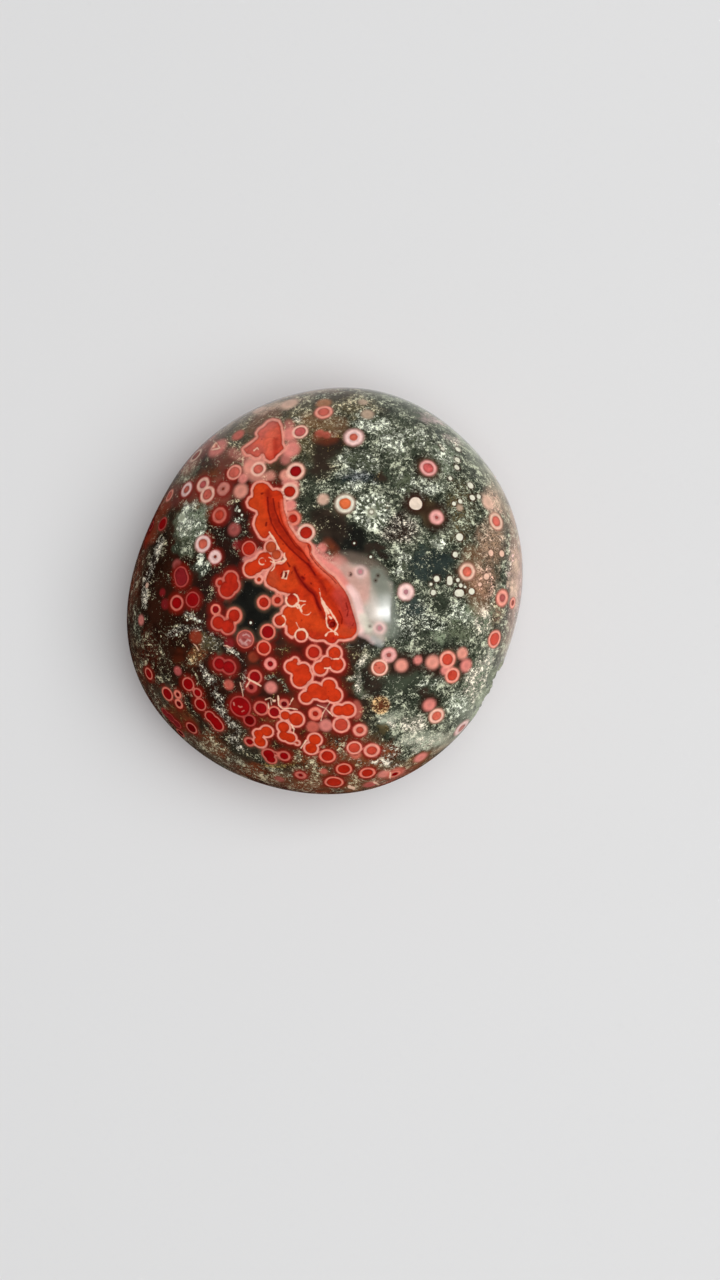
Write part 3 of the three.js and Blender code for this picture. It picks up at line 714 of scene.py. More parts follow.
# Their tints: ground, fleck and density of the regions, core and ring of the orbs, and the deep discs.
HIDDEN_GROUNDS = (
    ("pine", "lichen", 0.6), ("moss", "frost", 0.8), ("night", "lichen", 0.1), ("bark", "lichen", 0.45),
    ("teal", "lichen", 0.25), ("olive", "cream", 0.5), ("umber", "gold", 0.2), ("sage", "frost", 0.7),
    ("moss", "cream", 0.7), ("chalk", "cream", 0.5), ("pine", "frost", 0.7),
)
HIDDEN_TINTS = (
    ("scarlet", "blush"), ("scarlet", "salmon"), ("crimson", "salmon"), ("coral", "salmon"),
    ("coral", "cream"), ("rose", "blush"), ("vermilion", "blush"), ("garnet", "dull"), ("orange", "cream"),
)
HIDDEN_DEEP = ("petal", "rose", "dusk", "brick", "pearl")

# The mesh: a sphere of 20 x 4^4 triangles, each edge split five ways, with more of them on the face, and
# split again wherever a thin line is nearer than these distances in millimetres.
SPHERE_STEPS = 5
EDGE_CUTS = 4
FACE_SHARE = 0.4
FINE_REACHES = (0.5, 0.3)
NORMAL_STEP = 0.003  # the short step along the surface that its slope is taken from

# How far a region's edge strays, in broad and fine waves, and from one wave to the next.
REGION_STRAY = 2.6
REGION_WAVE = 3.2
FINE_STRAY = REGION_STRAY / 2.5
FINE_WAVE = REGION_WAVE / 3
FACE_STRAY = 0.5  # share of the broad waves that the face keeps
RIM_WAVE = REGION_WAVE / 2  # from one wave of the rim's haze to the next
# A region that reaches this far on the face goes this deep, so that it stops at the rim.
BROAD_REACH = 12.0
BROAD_DEPTH = 15.0


def tint(name, red, green, blue, where):
    """A colour property, given as the 0 to 255 values that a colour picker shows."""
    return bpy.props.FloatVectorProperty(
        name=name,
        description=where,
        subtype="COLOR_GAMMA",
        size=3,
        min=0.0,
        max=1.0,
        default=(red / 255, green / 255, blue / 255),
    )


def length_setting(name, description, default, least):
    """A length property."""
    return bpy.props.FloatProperty(
        name=name,
        description=description,
        default=default,
        min=least,
        unit="LENGTH",
    )


class JasperColours(bpy.types.PropertyGroup):
    """Colours of the jasper, by the names that the lists of marks use."""

    vermilion: tint("Vermilion", 206, 54, 18, "Main colour of the vein and the clusters")
    orange_red: tint("Orange red", 210, 66, 22, "Lighter patches of the vein")
    brick_red: tint("Brick red", 238, 108, 80, "Right margin of the vein")
    rose_red: tint("Rose red", 186, 60, 48, "Lower right side of the vein")
    blood: tint("Blood", 138, 12, 4, "Dark band along the vein")
    scarlet: tint("Scarlet", 186, 38, 18, "Cores of most orbs")
    crimson: tint("Crimson", 152, 6, 10, "Cores of the darker orbs")
    garnet: tint("Garnet", 108, 0, 2, "Cores of the darkest orbs")
    wine: tint("Wine", 140, 32, 36, "Dull dark cores near the rim")
    coral: tint("Coral", 206, 72, 52, "Lighter cores")
    apricot: tint("Apricot", 220, 108, 86, "Pale orange cores")
    clay: tint("Clay", 212, 102, 86, "Pink-brown cores and discs")
    orange: tint("Orange", 232, 114, 66, "Orange cores")
    copper: tint("Copper", 190, 76, 42, "Brown-orange cores and patches")
    brick: tint("Brick", 150, 58, 36, "Brown-red cores and discs")
    rose: tint("Rose", 208, 98, 94, "Pink-red cores and discs")
    dusk: tint("Dusk", 176, 86, 80, "Dull pink cores and discs")
    mauve: tint("Mauve", 180, 158, 154, "Pale lilac ground near the upper right rim")
    petal: tint("Petal", 240, 142, 130, "Pink discs and soft bands")
    peach: tint("Peach", 232, 188, 164, "Peach dots, rings and flecks")
    pearl: tint("Pearl", 250, 208, 200, "Palest pink rings, discs and bands")
    cream: tint("Cream", 236, 226, 204, "Cream rings, dots and flecks")
    ivory: tint("Ivory", 222, 219, 198, "Ivory dots")
    linen: tint("Linen", 234, 214, 194, "The large cream disc")
    shell: tint("Shell", 250, 194, 172, "Palest salmon rings")
    blush: tint("Blush", 246, 160, 140, "Bright pink rings and discs")
    bloom: tint("Bloom", 240, 134, 112, "Red-pink rings of the orbs left of the vein")
    salmon: tint("Salmon", 214, 112, 96, "Salmon rings")
    dull: tint("Dull ring", 184, 74, 66, "Dull rings of the dark orbs")
    quartz: tint("Quartz", 252, 206, 176, "Pale quartz lines")
    frost: tint("Frost", 236, 240, 218, "Brightest moss flecks")
    lichen: tint("Lichen", 180, 184, 158, "Grey-green moss flecks")
    lilac: tint("Lilac", 156, 160, 158, "Lilac-grey flecks")
    straw: tint("Straw", 216, 204, 166, "Yellowish white flecks")
    amber: tint("Amber", 220, 178, 124, "Bright golden flecks")
    gold: tint("Gold", 166, 138, 82, "Golden brown flecks")
    night: tint("Night", 17, 17, 13, "Black-green clear ground")
    pine: tint("Pine", 52, 58, 45, "Dark green ground")
    teal: tint("Teal", 42, 52, 48, "Blue-green ground")
    moss: tint("Moss", 84, 90, 70, "Mid green ground")
    sage: tint("Sage", 116, 126, 102, "Pale green ground")
    chalk: tint("Chalk", 190, 196, 172, "Pale massive moss")
    olive: tint("Olive", 88, 78, 52, "Olive brown ground")
    bark: tint("Bark", 44, 34, 26, "Brown-black ground")
    loam: tint("Loam", 44, 20, 11, "Dark brown ground")
    loam_light: tint("Light loam", 104, 78, 58, "Brown glow around an orb in green ground")
    rust: tint("Rust", 128, 58, 34, "Rusty haze")
    umber: tint("Umber", 66, 25, 12, "Red-brown ground")
    chestnut: tint("Chestnut", 104, 54, 30, "Orange-brown ground")
    tan: tint("Tan", 152, 124, 100, "Tan ground")
    sand: tint("Sand", 196, 168, 144, "Sand ground")
    blossom: tint("Blossom", 236, 168, 160, "Pink discs with a dusky centre")
    rosy: tint("Rosy", 206, 128, 114, "Dusky pink core and disc")
    orchid: tint("Orchid", 196, 128, 134, "Lilac-pink centres and dots of the palest discs")
    tawny: tint("Tawny", 178, 118, 80, "Orange-brown haze")
    smoke: tint("Smoke", 112, 96, 84, "Smoky brown edge of the chalcedony")
    # Milk and pink milk are partly the chalcedony's own colour and partly painted glare of the window.
    milk: tint("Milk", 186, 172, 158, "Milky chalcedony")
    milk_pink: tint("Pink milk", 210, 160, 146, "Pink milky chalcedony")
    milk_green: tint("Green milk", 118, 124, 111, "Green milky chalcedony")
    ember: tint("Ember", 120, 22, 11, "Glow of iron in the ground around an orb")


class JasperShape(bpy.types.PropertyGroup):
    """Size and finish of the stone."""

    width: length_setting("Width", "Size of the stone along X", STONE_HIGH.x - STONE_LOW.x, 0.01)
    length: length_setting("Length", "Size of the stone along Y", STONE_HIGH.y - STONE_LOW.y, 0.01)
    height: length_setting("Height", "Size of the stone along Z", STONE_HIGH.z - STONE_LOW.z, 0.01)
    polish: bpy.props.FloatProperty(
        name="Polish roughness",
        description="Roughness of the polished surface",
        default=0.16,
        min=0.0,
        max=1.0,
        subtype="FACTOR",
    )


class StudioSettings(bpy.types.PropertyGroup):
    """Floor, lights and camera."""

    floor_tint: tint("Floor", 222, 222, 222, "Colour of the floor and the cove")
    floor_radius: length_setting("Floor radius", "Distance at which the floor curves up", 2.2, 0.5)
    lens: bpy.props.FloatProperty(
        name="Lens",
        description="Focal length of the camera, in millimetres",
        default=46.3,
        min=1.0,
    )


# ---------------------------------------------------------------------------------- the shape


def outline_radius(azimuth):
    """Radius of the outline in each azimuth: a closed cubic spline through the outline's radii."""
    radii = np.array(OUTLINE_RADII)
    count = len(radii)
    place = (azimuth / (2 * np.pi) + 1) * count
    first = np.floor(place).astype(int)
    t = place - first
    before, here, after, beyond = (radii[(first + step) % count] for step in (-1, 0, 1, 2))
    return (
        (1 - t) ** 3 * before
        + (3 * t**3 - 6 * t**2 + 4) * here
        + (-3 * t**3 + 3 * t**2 + 3 * t + 1) * after
        + t**3 * beyond
    ) / 6


def rounded_max(a, b, rounding):
    """The larger of two heights, with the corner between them rounded."""
    near = np.maximum(rounding - np.abs(a - b), 0) / rounding
    return np.maximum(a, b) + near**2 * rounding / 4


def surface_points(directions):
    """Points of the pebble's surface, in millimetres, that directions from its middle lead to."""
    azimuth = np.arctan2(directions[:, 1], directions[:, 0])
    lift = np.minimum(np.abs(directions[:, 2]), 1)
    reach = np.sqrt(1 - lift**2) ** (2 / FULLNESS)
    radius = outline_radius(azimuth) * reach
    x = radius * np.cos(azimuth)
    y = radius * np.sin(azimuth)
    swell = np.sin(2 * np.pi * x / SWELL_LENGTH_X + SWELL_SHIFT) * np.cos(2 * np.pi * y / SWELL_LENGTH_Y)
    face = lift * (FACE_HEIGHT + SWELL_HEIGHT * swell) + RIM_SLOPE * x + RIM_PLANE
    back = rounded_max(-lift * BACK_DEPTH + RIM_SLOPE * x * reach**2 + RIM_PLANE, 0, FLAT_EDGE)
    return np.stack((x, y, np.where(directions[:, 2] >= 0, face, back)), axis=1)


def surface_normals(directions):
    """Outward normals of the surface in those directions, from two short steps along it."""
    side = np.cross((0.3, 0.5, 0.8), directions)
    side /= np.linalg.norm(side, axis=1)[:, None]
    other = np.cross(directions, side)
    here = surface_points(directions)
    normals = np.cross(stepped(directions, side) - here, stepped(directions, other) - here)
    normals /= np.linalg.norm(normals, axis=1)[:, None]
    facing = np.sum(normals * directions, axis=1)
    return np.where(facing[:, None] < 0, -normals, normals)


def stepped(directions, way):
    """The surface a short step along the sphere from each direction."""
    moved = directions + NORMAL_STEP * way
    return surface_points(moved / np.linalg.norm(moved, axis=1)[:, None])


def direction_at(azimuth, latitude):
    """Unit direction of an azimuth and latitude in degrees."""
    azimuth, latitude = math.radians(azimuth), math.radians(latitude)
    return np.array((
        math.cos(latitude) * math.cos(azimuth),
        math.cos(latitude) * math.sin(azimuth),
        math.sin(latitude),
    ))


def directions_over(x, y):
    """Directions whose surface points stand over x, y on the face."""
    azimuth = np.arctan2(y, x)
    across = np.minimum(np.hypot(x, y) / outline_radius(azimuth), LAST_SHARE) ** (FULLNESS / 2)
    return np.stack((across * np.cos(azimuth), across * np.sin(azimuth), np.sqrt(1 - across**2)), axis=1)


def on_face(seen):
    """Surface points that the eye sees at these places of the rim's plane."""
    seen = np.asarray(seen, float).reshape(-1, 2)
    eye = np.array((EYE_X, EYE_Y))
    points = surface_points(directions_over(seen[:, 0], seen[:, 1]))
    for _ in range(SIGHT_STEPS):
        nearness = (EYE_ABOVE_RIM - (points[:, 2] - RIM_PLANE)) / EYE_ABOVE_RIM
        aim = eye + (seen - eye) * nearness[:, None]
        middle = (aim + points[:, :2]) / 2
        points = surface_points(directions_over(middle[:, 0], middle[:, 1]))
    return points


def as_seen(points):
    """Places of the rim's plane at which the eye sees surface points."""
    eye = np.array((EYE_X, EYE_Y))
    nearness = (EYE_ABOVE_RIM - (points[:, 2] - RIM_PLANE)) / EYE_ABOVE_RIM
    return eye + (points[:, :2] - eye) / nearness[:, None]


def bites():
    """Balls that scoop the surface: middle, radius, and the height of their unevenness."""
    found = []
    for azimuth, latitude, across, depth in BREAKS:
        found.append((direction_at(azimuth, latitude)[None], across, depth, BREAK_RELIEF))
    for x, y, across, depth in PITS:
        found.append((directions_over(np.array([x]), np.array([y])), across, depth, 0.0))
    balls = []
    for direction, across, depth, relief in found:
        radius = across**2 / (8 * depth) + depth / 2
        middle = surface_points(direction)[0] + surface_normals(direction)[0] * (radius - depth)
        balls.append((middle, radius, relief))
    return balls


def line_reach(directions):
    """How near each direction's surface point is to a thin line, a small dot or a scoop."""
    points = surface_points(directions)
    reach = np.full(len(points), FAR)
    for middle, radius, _ in bites():
        reach = np.minimum(reach, np.linalg.norm(points - middle, axis=1) - radius)
    top = np.flatnonzero(directions[:, 2] > FACE_FROM)
    seen = as_seen(points[top])
    near = reach[top]
    fine = [line for _, line in quartz_lines() + SEAMS]
    fine += [line for _, half_width, _, line in STROKES if half_width < SMALL_DOT]
    for line in fine:
        near = np.minimum(near, line_distance(seen, line))
    for _, places in DISCS:
        for x, y, radius in places:
            if radius < SMALL_DOT:
                near = np.minimum(near, line_distance(seen, ((x, y), (x, y))) - radius)
    reach[top] = near
    return reach


def quartz_lines():
    """The quartz lines and the arcs, as lines."""
    lines = QUARTZ
    for half_width, x, y, radius, start, end in ARCS:
        turns = np.radians(np.linspace(start, end, ARC_POINTS))
        lines += ((half_width, list(zip(x + radius * np.cos(turns), y + radius * np.sin(turns)))),)
    return lines


def sphere_mesh():
    """A bmesh of unit directions, dense on the face, denser still at thin lines and scoops."""
    mesh = bmesh.new()
    bmesh.ops.create_icosphere(mesh, subdivisions=SPHERE_STEPS, radius=1.0)
    bmesh.ops.subdivide_edges(mesh, edges=mesh.edges[:], cuts=EDGE_CUTS, use_grid_fill=True)
    for vertex in mesh.verts:
        way = vertex.co.normalized()
        share = (1 - way.z) / 2
        share = FACE_SHARE * share + (1 - FACE_SHARE) * share**3
        height = 1 - 2 * share
        flat = math.hypot(way.x, way.y)
        spread = math.sqrt(max(1 - height**2, 0)) / flat if flat > 1e-9 else 0
        vertex.co = (way.x * spread, way.y * spread, height)
    for reach in FINE_REACHES:
        near = line_reach(np.array([vertex.co[:] for vertex in mesh.verts])) < reach
        edges = [edge for edge in mesh.edges if near[edge.verts[0].index] and near[edge.verts[1].index]]
        bmesh.ops.subdivide_edges(mesh, edges=edges, cuts=1)
        bmesh.ops.triangulate(mesh, faces=[face for face in mesh.faces if len(face.verts) > 3])
        for vertex in mesh.verts:
            vertex.co.normalize()
        mesh.verts.index_update()
    return mesh


def scooped(points, normals):
    """The surface with the scoops taken out, and how deep the breaks and the pits have sunk it."""
    sunk = np.zeros((2, len(points)))
    wave = 2 * np.pi / BREAK_GRAIN
    bumps = np.sin(wave * points[:, 0]) * np.cos(wave * points[:, 1] + 1) * np.cos(wave * points[:, 2])
    for middle, radius, relief in bites():
        offset = points - middle
        along = np.sum(offset * normals, axis=1)
        uneven = radius + relief * bumps
        inside = along**2 + uneven**2 - np.sum(offset**2, axis=1)
        depth = np.where(inside > 0, along + np.sqrt(np.maximum(inside, 0)), 0)
        close = np.sum(offset**2, axis=1) < (radius + relief) ** 2
        kind = 0 if relief else 1
        sunk[kind] = np.where(close, np.maximum(sunk[kind], depth), sunk[kind])
    return points - normals * sunk.max(axis=0)[:, None], sunk[0], sunk[1]


# ---------------------------------------------------------------------------------- the marks


def linear(colour):
    """Linear light of the 0 to 1 values that a colour picker shows."""
    colour = np.asarray(colour, float)
    return np.where(colour <= 0.04045, colour / 12.92, ((colour + 0.055) / 1.055) ** 2.4)


def palette(colours):
    """Every named colour of the jasper, in linear light."""
    return {name: linear(getattr(colours, name)) for name in JasperColours.__annotations__}


def turned(old, new, share):
    """Old values, brought towards new ones."""
    return old + share * (new - old)


def smooth(low, high, value):
    """0 below low, 1 above high, and an even curve between."""
    t = np.clip((value - low) / (high - low), 0, 1)
    return t * t * (3 - 2 * t)


def line_distance(places, line):
    """Distance of each place to a line through points of the same plane."""
    best = np.full(len(places), 1e3)
    for start, end in zip(line[:-1], line[1:]):
        start, along = np.array(start), np.subtract(end, start)
        share = np.clip(((places - start) @ along) / max(along @ along, 1e-9), 0, 1)
        away = places - start - share[:, None] * along
        best = np.minimum(best, np.hypot(away[:, 0], away[:, 1]))
    return best


def inside_loop(places, loop):
    """True where a place is inside a closed outline."""
    within = np.zeros(len(places), bool)
    for (x0, y0), (x1, y1) in zip(loop, loop[1:] + loop[:1]):
        crosses = (y0 > places[:, 1]) != (y1 > places[:, 1])
        rise = (y1 - y0) if y1 != y0 else 1e-9
        meets = (x1 - x0) * (places[:, 1] - y0) / rise + x0
        within ^= crosses & (places[:, 0] < meets)
    return within


class Marks:
    """What the material reads at each vertex of the stone."""

    def __init__(self, points, tints):
        count = len(points)
        self.points = points
        self.tints = tints
        self.ring, self.glow, self.disc, self.quartz, self.seam = np.full((5, count), FAR)
        self.core_tint, self.ring_tint, self.disc_tint, self.deep_and_sheen_tint = np.zeros((4, count, 3))
        self.ground_tint = np.tile(tints["pine"], (count, 1))
        self.fleck_tint = np.tile(tints["lichen"], (count, 1))
        self.ring_share = np.full(count, RING_SHARE)
        self.deep_and_sheen = np.zeros(count)
        self.moss = np.full(count, 0.5)

    def near(self, centre, reach):
        """Indices of the vertices within reach of a centre, and their distances."""
        offset = self.points - centre
        close = np.flatnonzero(np.sum(offset**2, axis=1) < reach**2)
        return close, np.linalg.norm(offset[close], axis=1)

    def bind(self, chosen, edge, width, core, ring, share):
        """Gives vertices to an orb where it is nearer than what they have. edge is from the core's edge."""
        place = edge / width
        wins = place < self.ring[chosen]
        self.glow[chosen] = np.minimum(self.glow[chosen], edge - width)
        won = chosen[wins]
        self.ring[won] = place[wins]
        self.core_tint[won] = self.tints[core]
        self.ring_tint[won] = self.tints[ring]
        self.ring_share[won] = share

    def orb(self, centre, core_radius, ring_radius, core, ring, share=RING_SHARE):
        """A core in a ring."""
        close, distance = self.near(centre, ring_radius + GLOW_REACH)
        self.bind(close, distance - core_radius, ring_radius - core_radius, core, ring, share)

    def flat_disc(self, centre, radius, colour):
        """A disc or dot without a ring."""
        close, distance = self.near(centre, radius + DISC_REACH)
        edge = distance - radius
        wins = edge < self.disc[close]
        won = close[wins]
        self.disc[won] = edge[wins]
        self.disc_tint[won] = self.tints[colour]

    def paint_deep_and_sheen(self, chosen, cover, colour):
        """Lays a soft colour over the layer of deep colour, painted sheen and painted glare."""
        old = self.deep_and_sheen[chosen]
        total = cover + old * (1 - cover)
        blend = np.where(total > 0, cover / np.maximum(total, 1e-6), 0)[:, None]
        self.deep_and_sheen_tint[chosen] = turned(self.deep_and_sheen_tint[chosen], colour, blend)
        self.deep_and_sheen[chosen] = total

    def deep_disc(self, centre, radius, colour):
        """A soft disc below the surface."""
        close, distance = self.near(centre, radius * DEEP_REACH)
        place = distance / radius
        shading = DEEP_SHADE + DEEP_LIFT * smooth(*DEEP_LIFT_EDGE, place)[:, None]
        cover = DEEP_STRENGTH * (1 - smooth(*DEEP_EDGE, place))
        self.paint_deep_and_sheen(close, cover, self.tints[colour] * shading)

    def region(self, centre, reach, ground, fleck, density, stray):
        """Turns the ground around a centre towards a tint and a density of flecks."""
        offset = (self.points + stray - centre) / reach
        cover = 1 - smooth(*REGION_EDGE, np.linalg.norm(offset, axis=1))
        chosen = np.flatnonzero(cover > 0)
        self.turn_moss(chosen, cover[chosen], ground, fleck)
        self.moss[chosen] = turned(self.moss[chosen], density, cover[chosen])

    def turn_moss(self, chosen, share, ground, fleck):
        """Brings the tints of the ground and its flecks towards other ones."""
        share = share[:, None]
        self.ground_tint[chosen] = turned(self.ground_tint[chosen], self.tints[ground], share)
        self.fleck_tint[chosen] = turned(self.fleck_tint[chosen], self.tints[fleck], share)


def strays(points, wave, height):
    """A smooth random offset for each point, so that edges wander."""
    return height * np.array([noise.noise_vector(Vector(point) / wave)[:] for point in points])


def mark_ground(marks, chance):
    """The regions of the ground, on the face by hand and elsewhere by chance."""
    broad = strays(marks.points, REGION_WAVE, REGION_STRAY)
    fine = strays(marks.points, FINE_WAVE, FINE_STRAY)
    for _ in range(HIDDEN_REGIONS):
        centre = hidden_place(chance)
        ground, fleck, density = HIDDEN_GROUNDS[chance.integers(len(HIDDEN_GROUNDS))]
        reach = chance.uniform(*REGION_SIZES) * np.array((1, chance.uniform(*REGION_STRETCH), 1))
        marks.region(centre, reach, ground, fleck, density, broad + fine)
    for x, y, reach_x, reach_y, ground, fleck, density in REGIONS:
        centre = on_face((x, y))[0]
        widest = max(reach_x, reach_y)
        reach = np.array((reach_x, reach_y, widest if widest < BROAD_REACH else BROAD_DEPTH))
        marks.region(centre, reach, ground, fleck, density, broad * FACE_STRAY + fine)


def mark_rim_and_sheen(marks, directions):
    """The soft colour all round the rim, partly the stone's own and partly painted sheen and painted shade,
    uneven as the ground is.
    """
    turns = np.degrees(np.arctan2(directions[:, 1], directions[:, 0]))
    around, names, shares = zip(*RIM_HAZE_AND_SHEEN)
    tints = np.array([marks.tints[name] for name in names])
    colour = np.stack([np.interp(turns, around, tints[:, part], period=360) for part in range(3)], axis=1)
    uneven = 1 + strays(marks.points, RIM_WAVE, 1.0)[:, 0]
    cover = np.interp(turns, around, shares, period=360) * uneven
    cover *= 1 - smooth(*RIM_FADE, np.abs(directions[:, 2]))
    marks.paint_deep_and_sheen(np.arange(len(turns)), np.clip(cover, 0, RIM_MOST), colour)


def hidden_way(chance):
    """A direction drawn at random to the sides or the back, away from what the face shows."""
    while True:
        way = chance.normal(size=3)
        way /= np.linalg.norm(way)
        if way[2] < HIDDEN_BELOW:
            return way


def hidden_place(chance):
    """A surface point in such a direction."""
    return surface_points(hidden_way(chance)[None])[0]


def mark_hidden(marks, chance):
    """Orbs, clusters and discs on the sides and the back."""
    taken = []
    while len(taken) < HIDDEN_ORBS:
        centre = hidden_place(chance)
        if any(np.linalg.norm(centre - other) < ORB_SPACING for other in taken[-ORBS_BEFORE:]):
            continue
        taken.append(centre)
        core, ring = HIDDEN_TINTS[chance.integers(len(HIDDEN_TINTS))]
        radius = chance.uniform(*CORE_SIZES)
        marks.orb(centre, radius, radius + chance.uniform(*RING_WIDTHS), core, ring)
    for _ in range(HIDDEN_CLUSTERS):
        way = hidden_way(chance)
        core, ring = HIDDEN_TINTS[chance.integers(len(HIDDEN_TINTS))]
        for _ in range(chance.integers(*CLUSTER_CORES)):
            way = way + chance.normal(scale=CLUSTER_STEP, size=3)
            way /= np.linalg.norm(way)
            radius = chance.uniform(*CLUSTER_CORE_SIZES)
            marks.orb(surface_points(way[None])[0], radius, radius + CLUSTER_RING, core, ring)
    for _ in range(HIDDEN_DISCS):
        centre, radius = hidden_place(chance), chance.uniform(*DEEP_SIZES)
        marks.deep_disc(centre, radius, HIDDEN_DEEP[chance.integers(len(HIDDEN_DEEP))])
        marks.flat_disc(hidden_place(chance), chance.uniform(*DOT_SIZES), "cream")


def placed(groups):
    """Each mark in a list of the face: its centre on the surface, its sizes, and what its group says."""
    for *tints, rows in groups:
        for x, y, *sizes in rows:
            yield on_face((x, y))[0], sizes, tints


def mark_orbs(marks):
    """The orbs, clusters, eyes and discs of the face."""
    for centre, (core_radius, ring_radius), (core, ring) in placed(ORBS):
        marks.orb(centre, core_radius, ring_radius, core, ring)
    for centre, (radius,), (core, ring, width) in placed(CLUSTERS):
        marks.orb(centre, radius, radius + width, core, ring)
    for centre, (dot_radius, radius), (dot, disc) in placed(EYES):
        marks.orb(centre, dot_radius, radius, dot, disc, EYE_SHARE)
    for centre, (radius,), (colour,) in placed(DISCS):
        marks.flat_disc(centre, radius, colour)
    for centre, (radius,), (colour,) in placed(DEEP_DISCS):
        marks.deep_disc(centre, radius, colour)


def edge_distance(seen, loop):
    """Distance to a closed outline, negative inside it."""
    distance = line_distance(seen, loop + loop[:1])
    return np.where(inside_loop(seen, loop), -distance, distance)


def band(seen, line, half_width, edge):
    """1 along a line, fading to 0 between two shares of its half width."""
    return 1 - smooth(*edge, line_distance(seen, line) / half_width)


def mark_vein(marks, top, seen):
    """The vein and the blob, and what paints their inside."""
    for loop, colour in ((VEIN, "vermilion"), (BLOB, "coral")):
        edge = edge_distance(seen, loop)
        close = edge < VEIN_REACH
        marks.bind(top[close], edge[close], VEIN_RING, colour, "blush", RING_SHARE)
    half_width, strength, line = FADED_RING
    cover = strength * band(seen, line, half_width, HALO_EDGE)[:, None]
    marks.ring_tint[top] = turned(marks.ring_tint[top], marks.tints["milk_pink"], cover)
    inside = marks.ring[top] < STROKE_LIMIT
    for colour, half_width, strength, line in STROKES:
        cover = (strength * band(seen, line, half_width, STROKE_EDGE) * inside)[:, None]
        marks.core_tint[top] = turned(marks.core_tint[top], marks.tints[colour], cover)


def mark_milk(marks, top, seen):
    """The milky chalcedony, partly painted glare of the window, and the soft bands in the depth of the stone,
    of which the pink milk and the washes over two eyes are partly painted glare too.
    """
    cover = MILK_AND_GLARE_STRENGTH * (1 - smooth(-MILK_AND_GLARE_SOFTNESS, MILK_AND_GLARE_SOFTNESS, edge_distance(seen, MILK_AND_GLARE)))
    marks.paint_deep_and_sheen(top, cover, marks.tints["milk"])
    for colour, half_width, strength, line in HALOS:
        marks.paint_deep_and_sheen(top, strength * band(seen, line, half_width, HALO_EDGE), marks.tints[colour])


def mark_lines(marks, top, seen):
    """The quartz lines and the dark seams."""
    for held, lines in ((marks.quartz, quartz_lines()), (marks.seam, SEAMS)):
        for half_width, line in lines:
            held[top] = np.minimum(held[top], line_distance(seen, line) - half_width)


def mark_moss(marks, top, seen):
    """Moss that grows out from a centre, and bands of flecks."""
    for x, y, radius, rays, strength, ground, fleck in FLOWERS:
        away = seen - (x, y)
        distance = np.hypot(away[:, 0], away[:, 1]) / radius
        turn = np.arctan2(away[:, 1], away[:, 0]) * rays + np.sin(2 * away[:, 0]) * np.cos(1.6 * away[:, 1])
        marks.turn_moss(top, 1 - smooth(*FLOWER_EDGE, distance), ground, fleck)
        cover = smooth(*FLOWER_HEART, distance) * (1 - smooth(*FLOWER_RAYS_EDGE, distance))
        marks.moss[top] = turned(marks.moss[top], FLOWER_DENSITY + strength * np.sin(turn), cover)
    for half_width, colour, density, line in FLECK_BANDS:
        cover = band(seen, line, half_width, FLECK_EDGE)
        marks.moss[top] = turned(marks.moss[top], density, cover)
        marks.fleck_tint[top] = turned(marks.fleck_tint[top], marks.tints[colour], cover[:, None])


def tint_surround(marks):
    """Colours the halo of each ring and the glow beyond it: red in warm ground, brown in green ground."""
    warmth = smooth(*WARM_GROUND, marks.ground_tint[:, 0] / marks.ground_tint[:, 1])[:, None]
    halo = marks.ring_tint * turned(np.array(COOL_HALO), WARM_HALO, warmth)
    milky = smooth(*MILKY_DEPTH, marks.deep_and_sheen) * smooth(*MILKY_LIGHT, marks.deep_and_sheen_tint @ LUMINANCE)
    marks.halo_tint = turned(halo, (marks.deep_and_sheen_tint + marks.ring_tint) / 2, milky[:, None])
    marks.glow_tint = turned(marks.tints["loam_light"], marks.tints["ember"], warmth)
    showing = np.where(marks.deep_and_sheen[:, None] > MOSTLY_DEEP, marks.deep_and_sheen_tint, marks.ground_tint)
    pale = smooth(*PALE_GROUND, showing @ LUMINANCE)
    marks.glow += PALE_GLOW_CUT * pale + (1 - warmth[:, 0]) * GREEN_GLOW_CUT


def all_marks(directions, whole, tints):
    """Every mark of the stone, at each of its vertices."""
    marks = Marks(whole, tints)
    noise.seed_set(NOISE_SEED)
    chance = np.random.default_rng(SEED)
    mark_ground(marks, chance)
    mark_rim_and_sheen(marks, directions)
    mark_hidden(marks, chance)
    mark_orbs(marks)
    top = np.flatnonzero(directions[:, 2] > FACE_FROM)
    seen = as_seen(whole[top])
    mark_vein(marks, top, seen)
    mark_milk(marks, top, seen)
    mark_lines(marks, top, seen)
    mark_moss(marks, top, seen)
    tint_surround(marks)
    return marks


def store(mesh, name, values):
    """Keeps one value or colour for each vertex."""
    values = np.asarray(values, np.float32)
    if values.ndim == 1:
        attribute = mesh.attributes.new(name, "FLOAT", "POINT")
        attribute.data.foreach_set("value", values)
        return
    attribute = mesh.attributes.new(name, "FLOAT_COLOR", "POINT")
    attribute.data.foreach_set("color", values.ravel())


def with_alpha(colours, alpha):
    """Colours with a fourth value beside them."""
    return np.concatenate((colours, np.broadcast_to(alpha, len(colours))[:, None]), axis=1)


def finish_faces(build):
    """Turns a bmesh's faces outwards and makes them smooth."""
    for face in build.faces:
        face.smooth = True
    bmesh.ops.recalc_face_normals(build, faces=build.faces[:])


def made(context, build, name, material):
    """The object that a bmesh becomes, in the scene."""
    mesh = bpy.data.meshes.new(name)
    build.to_mesh(mesh)
    build.free()
    mesh.materials.append(material)
    piece = bpy.data.objects.new(name, mesh)
    context.collection.objects.link(piece)
    return piece


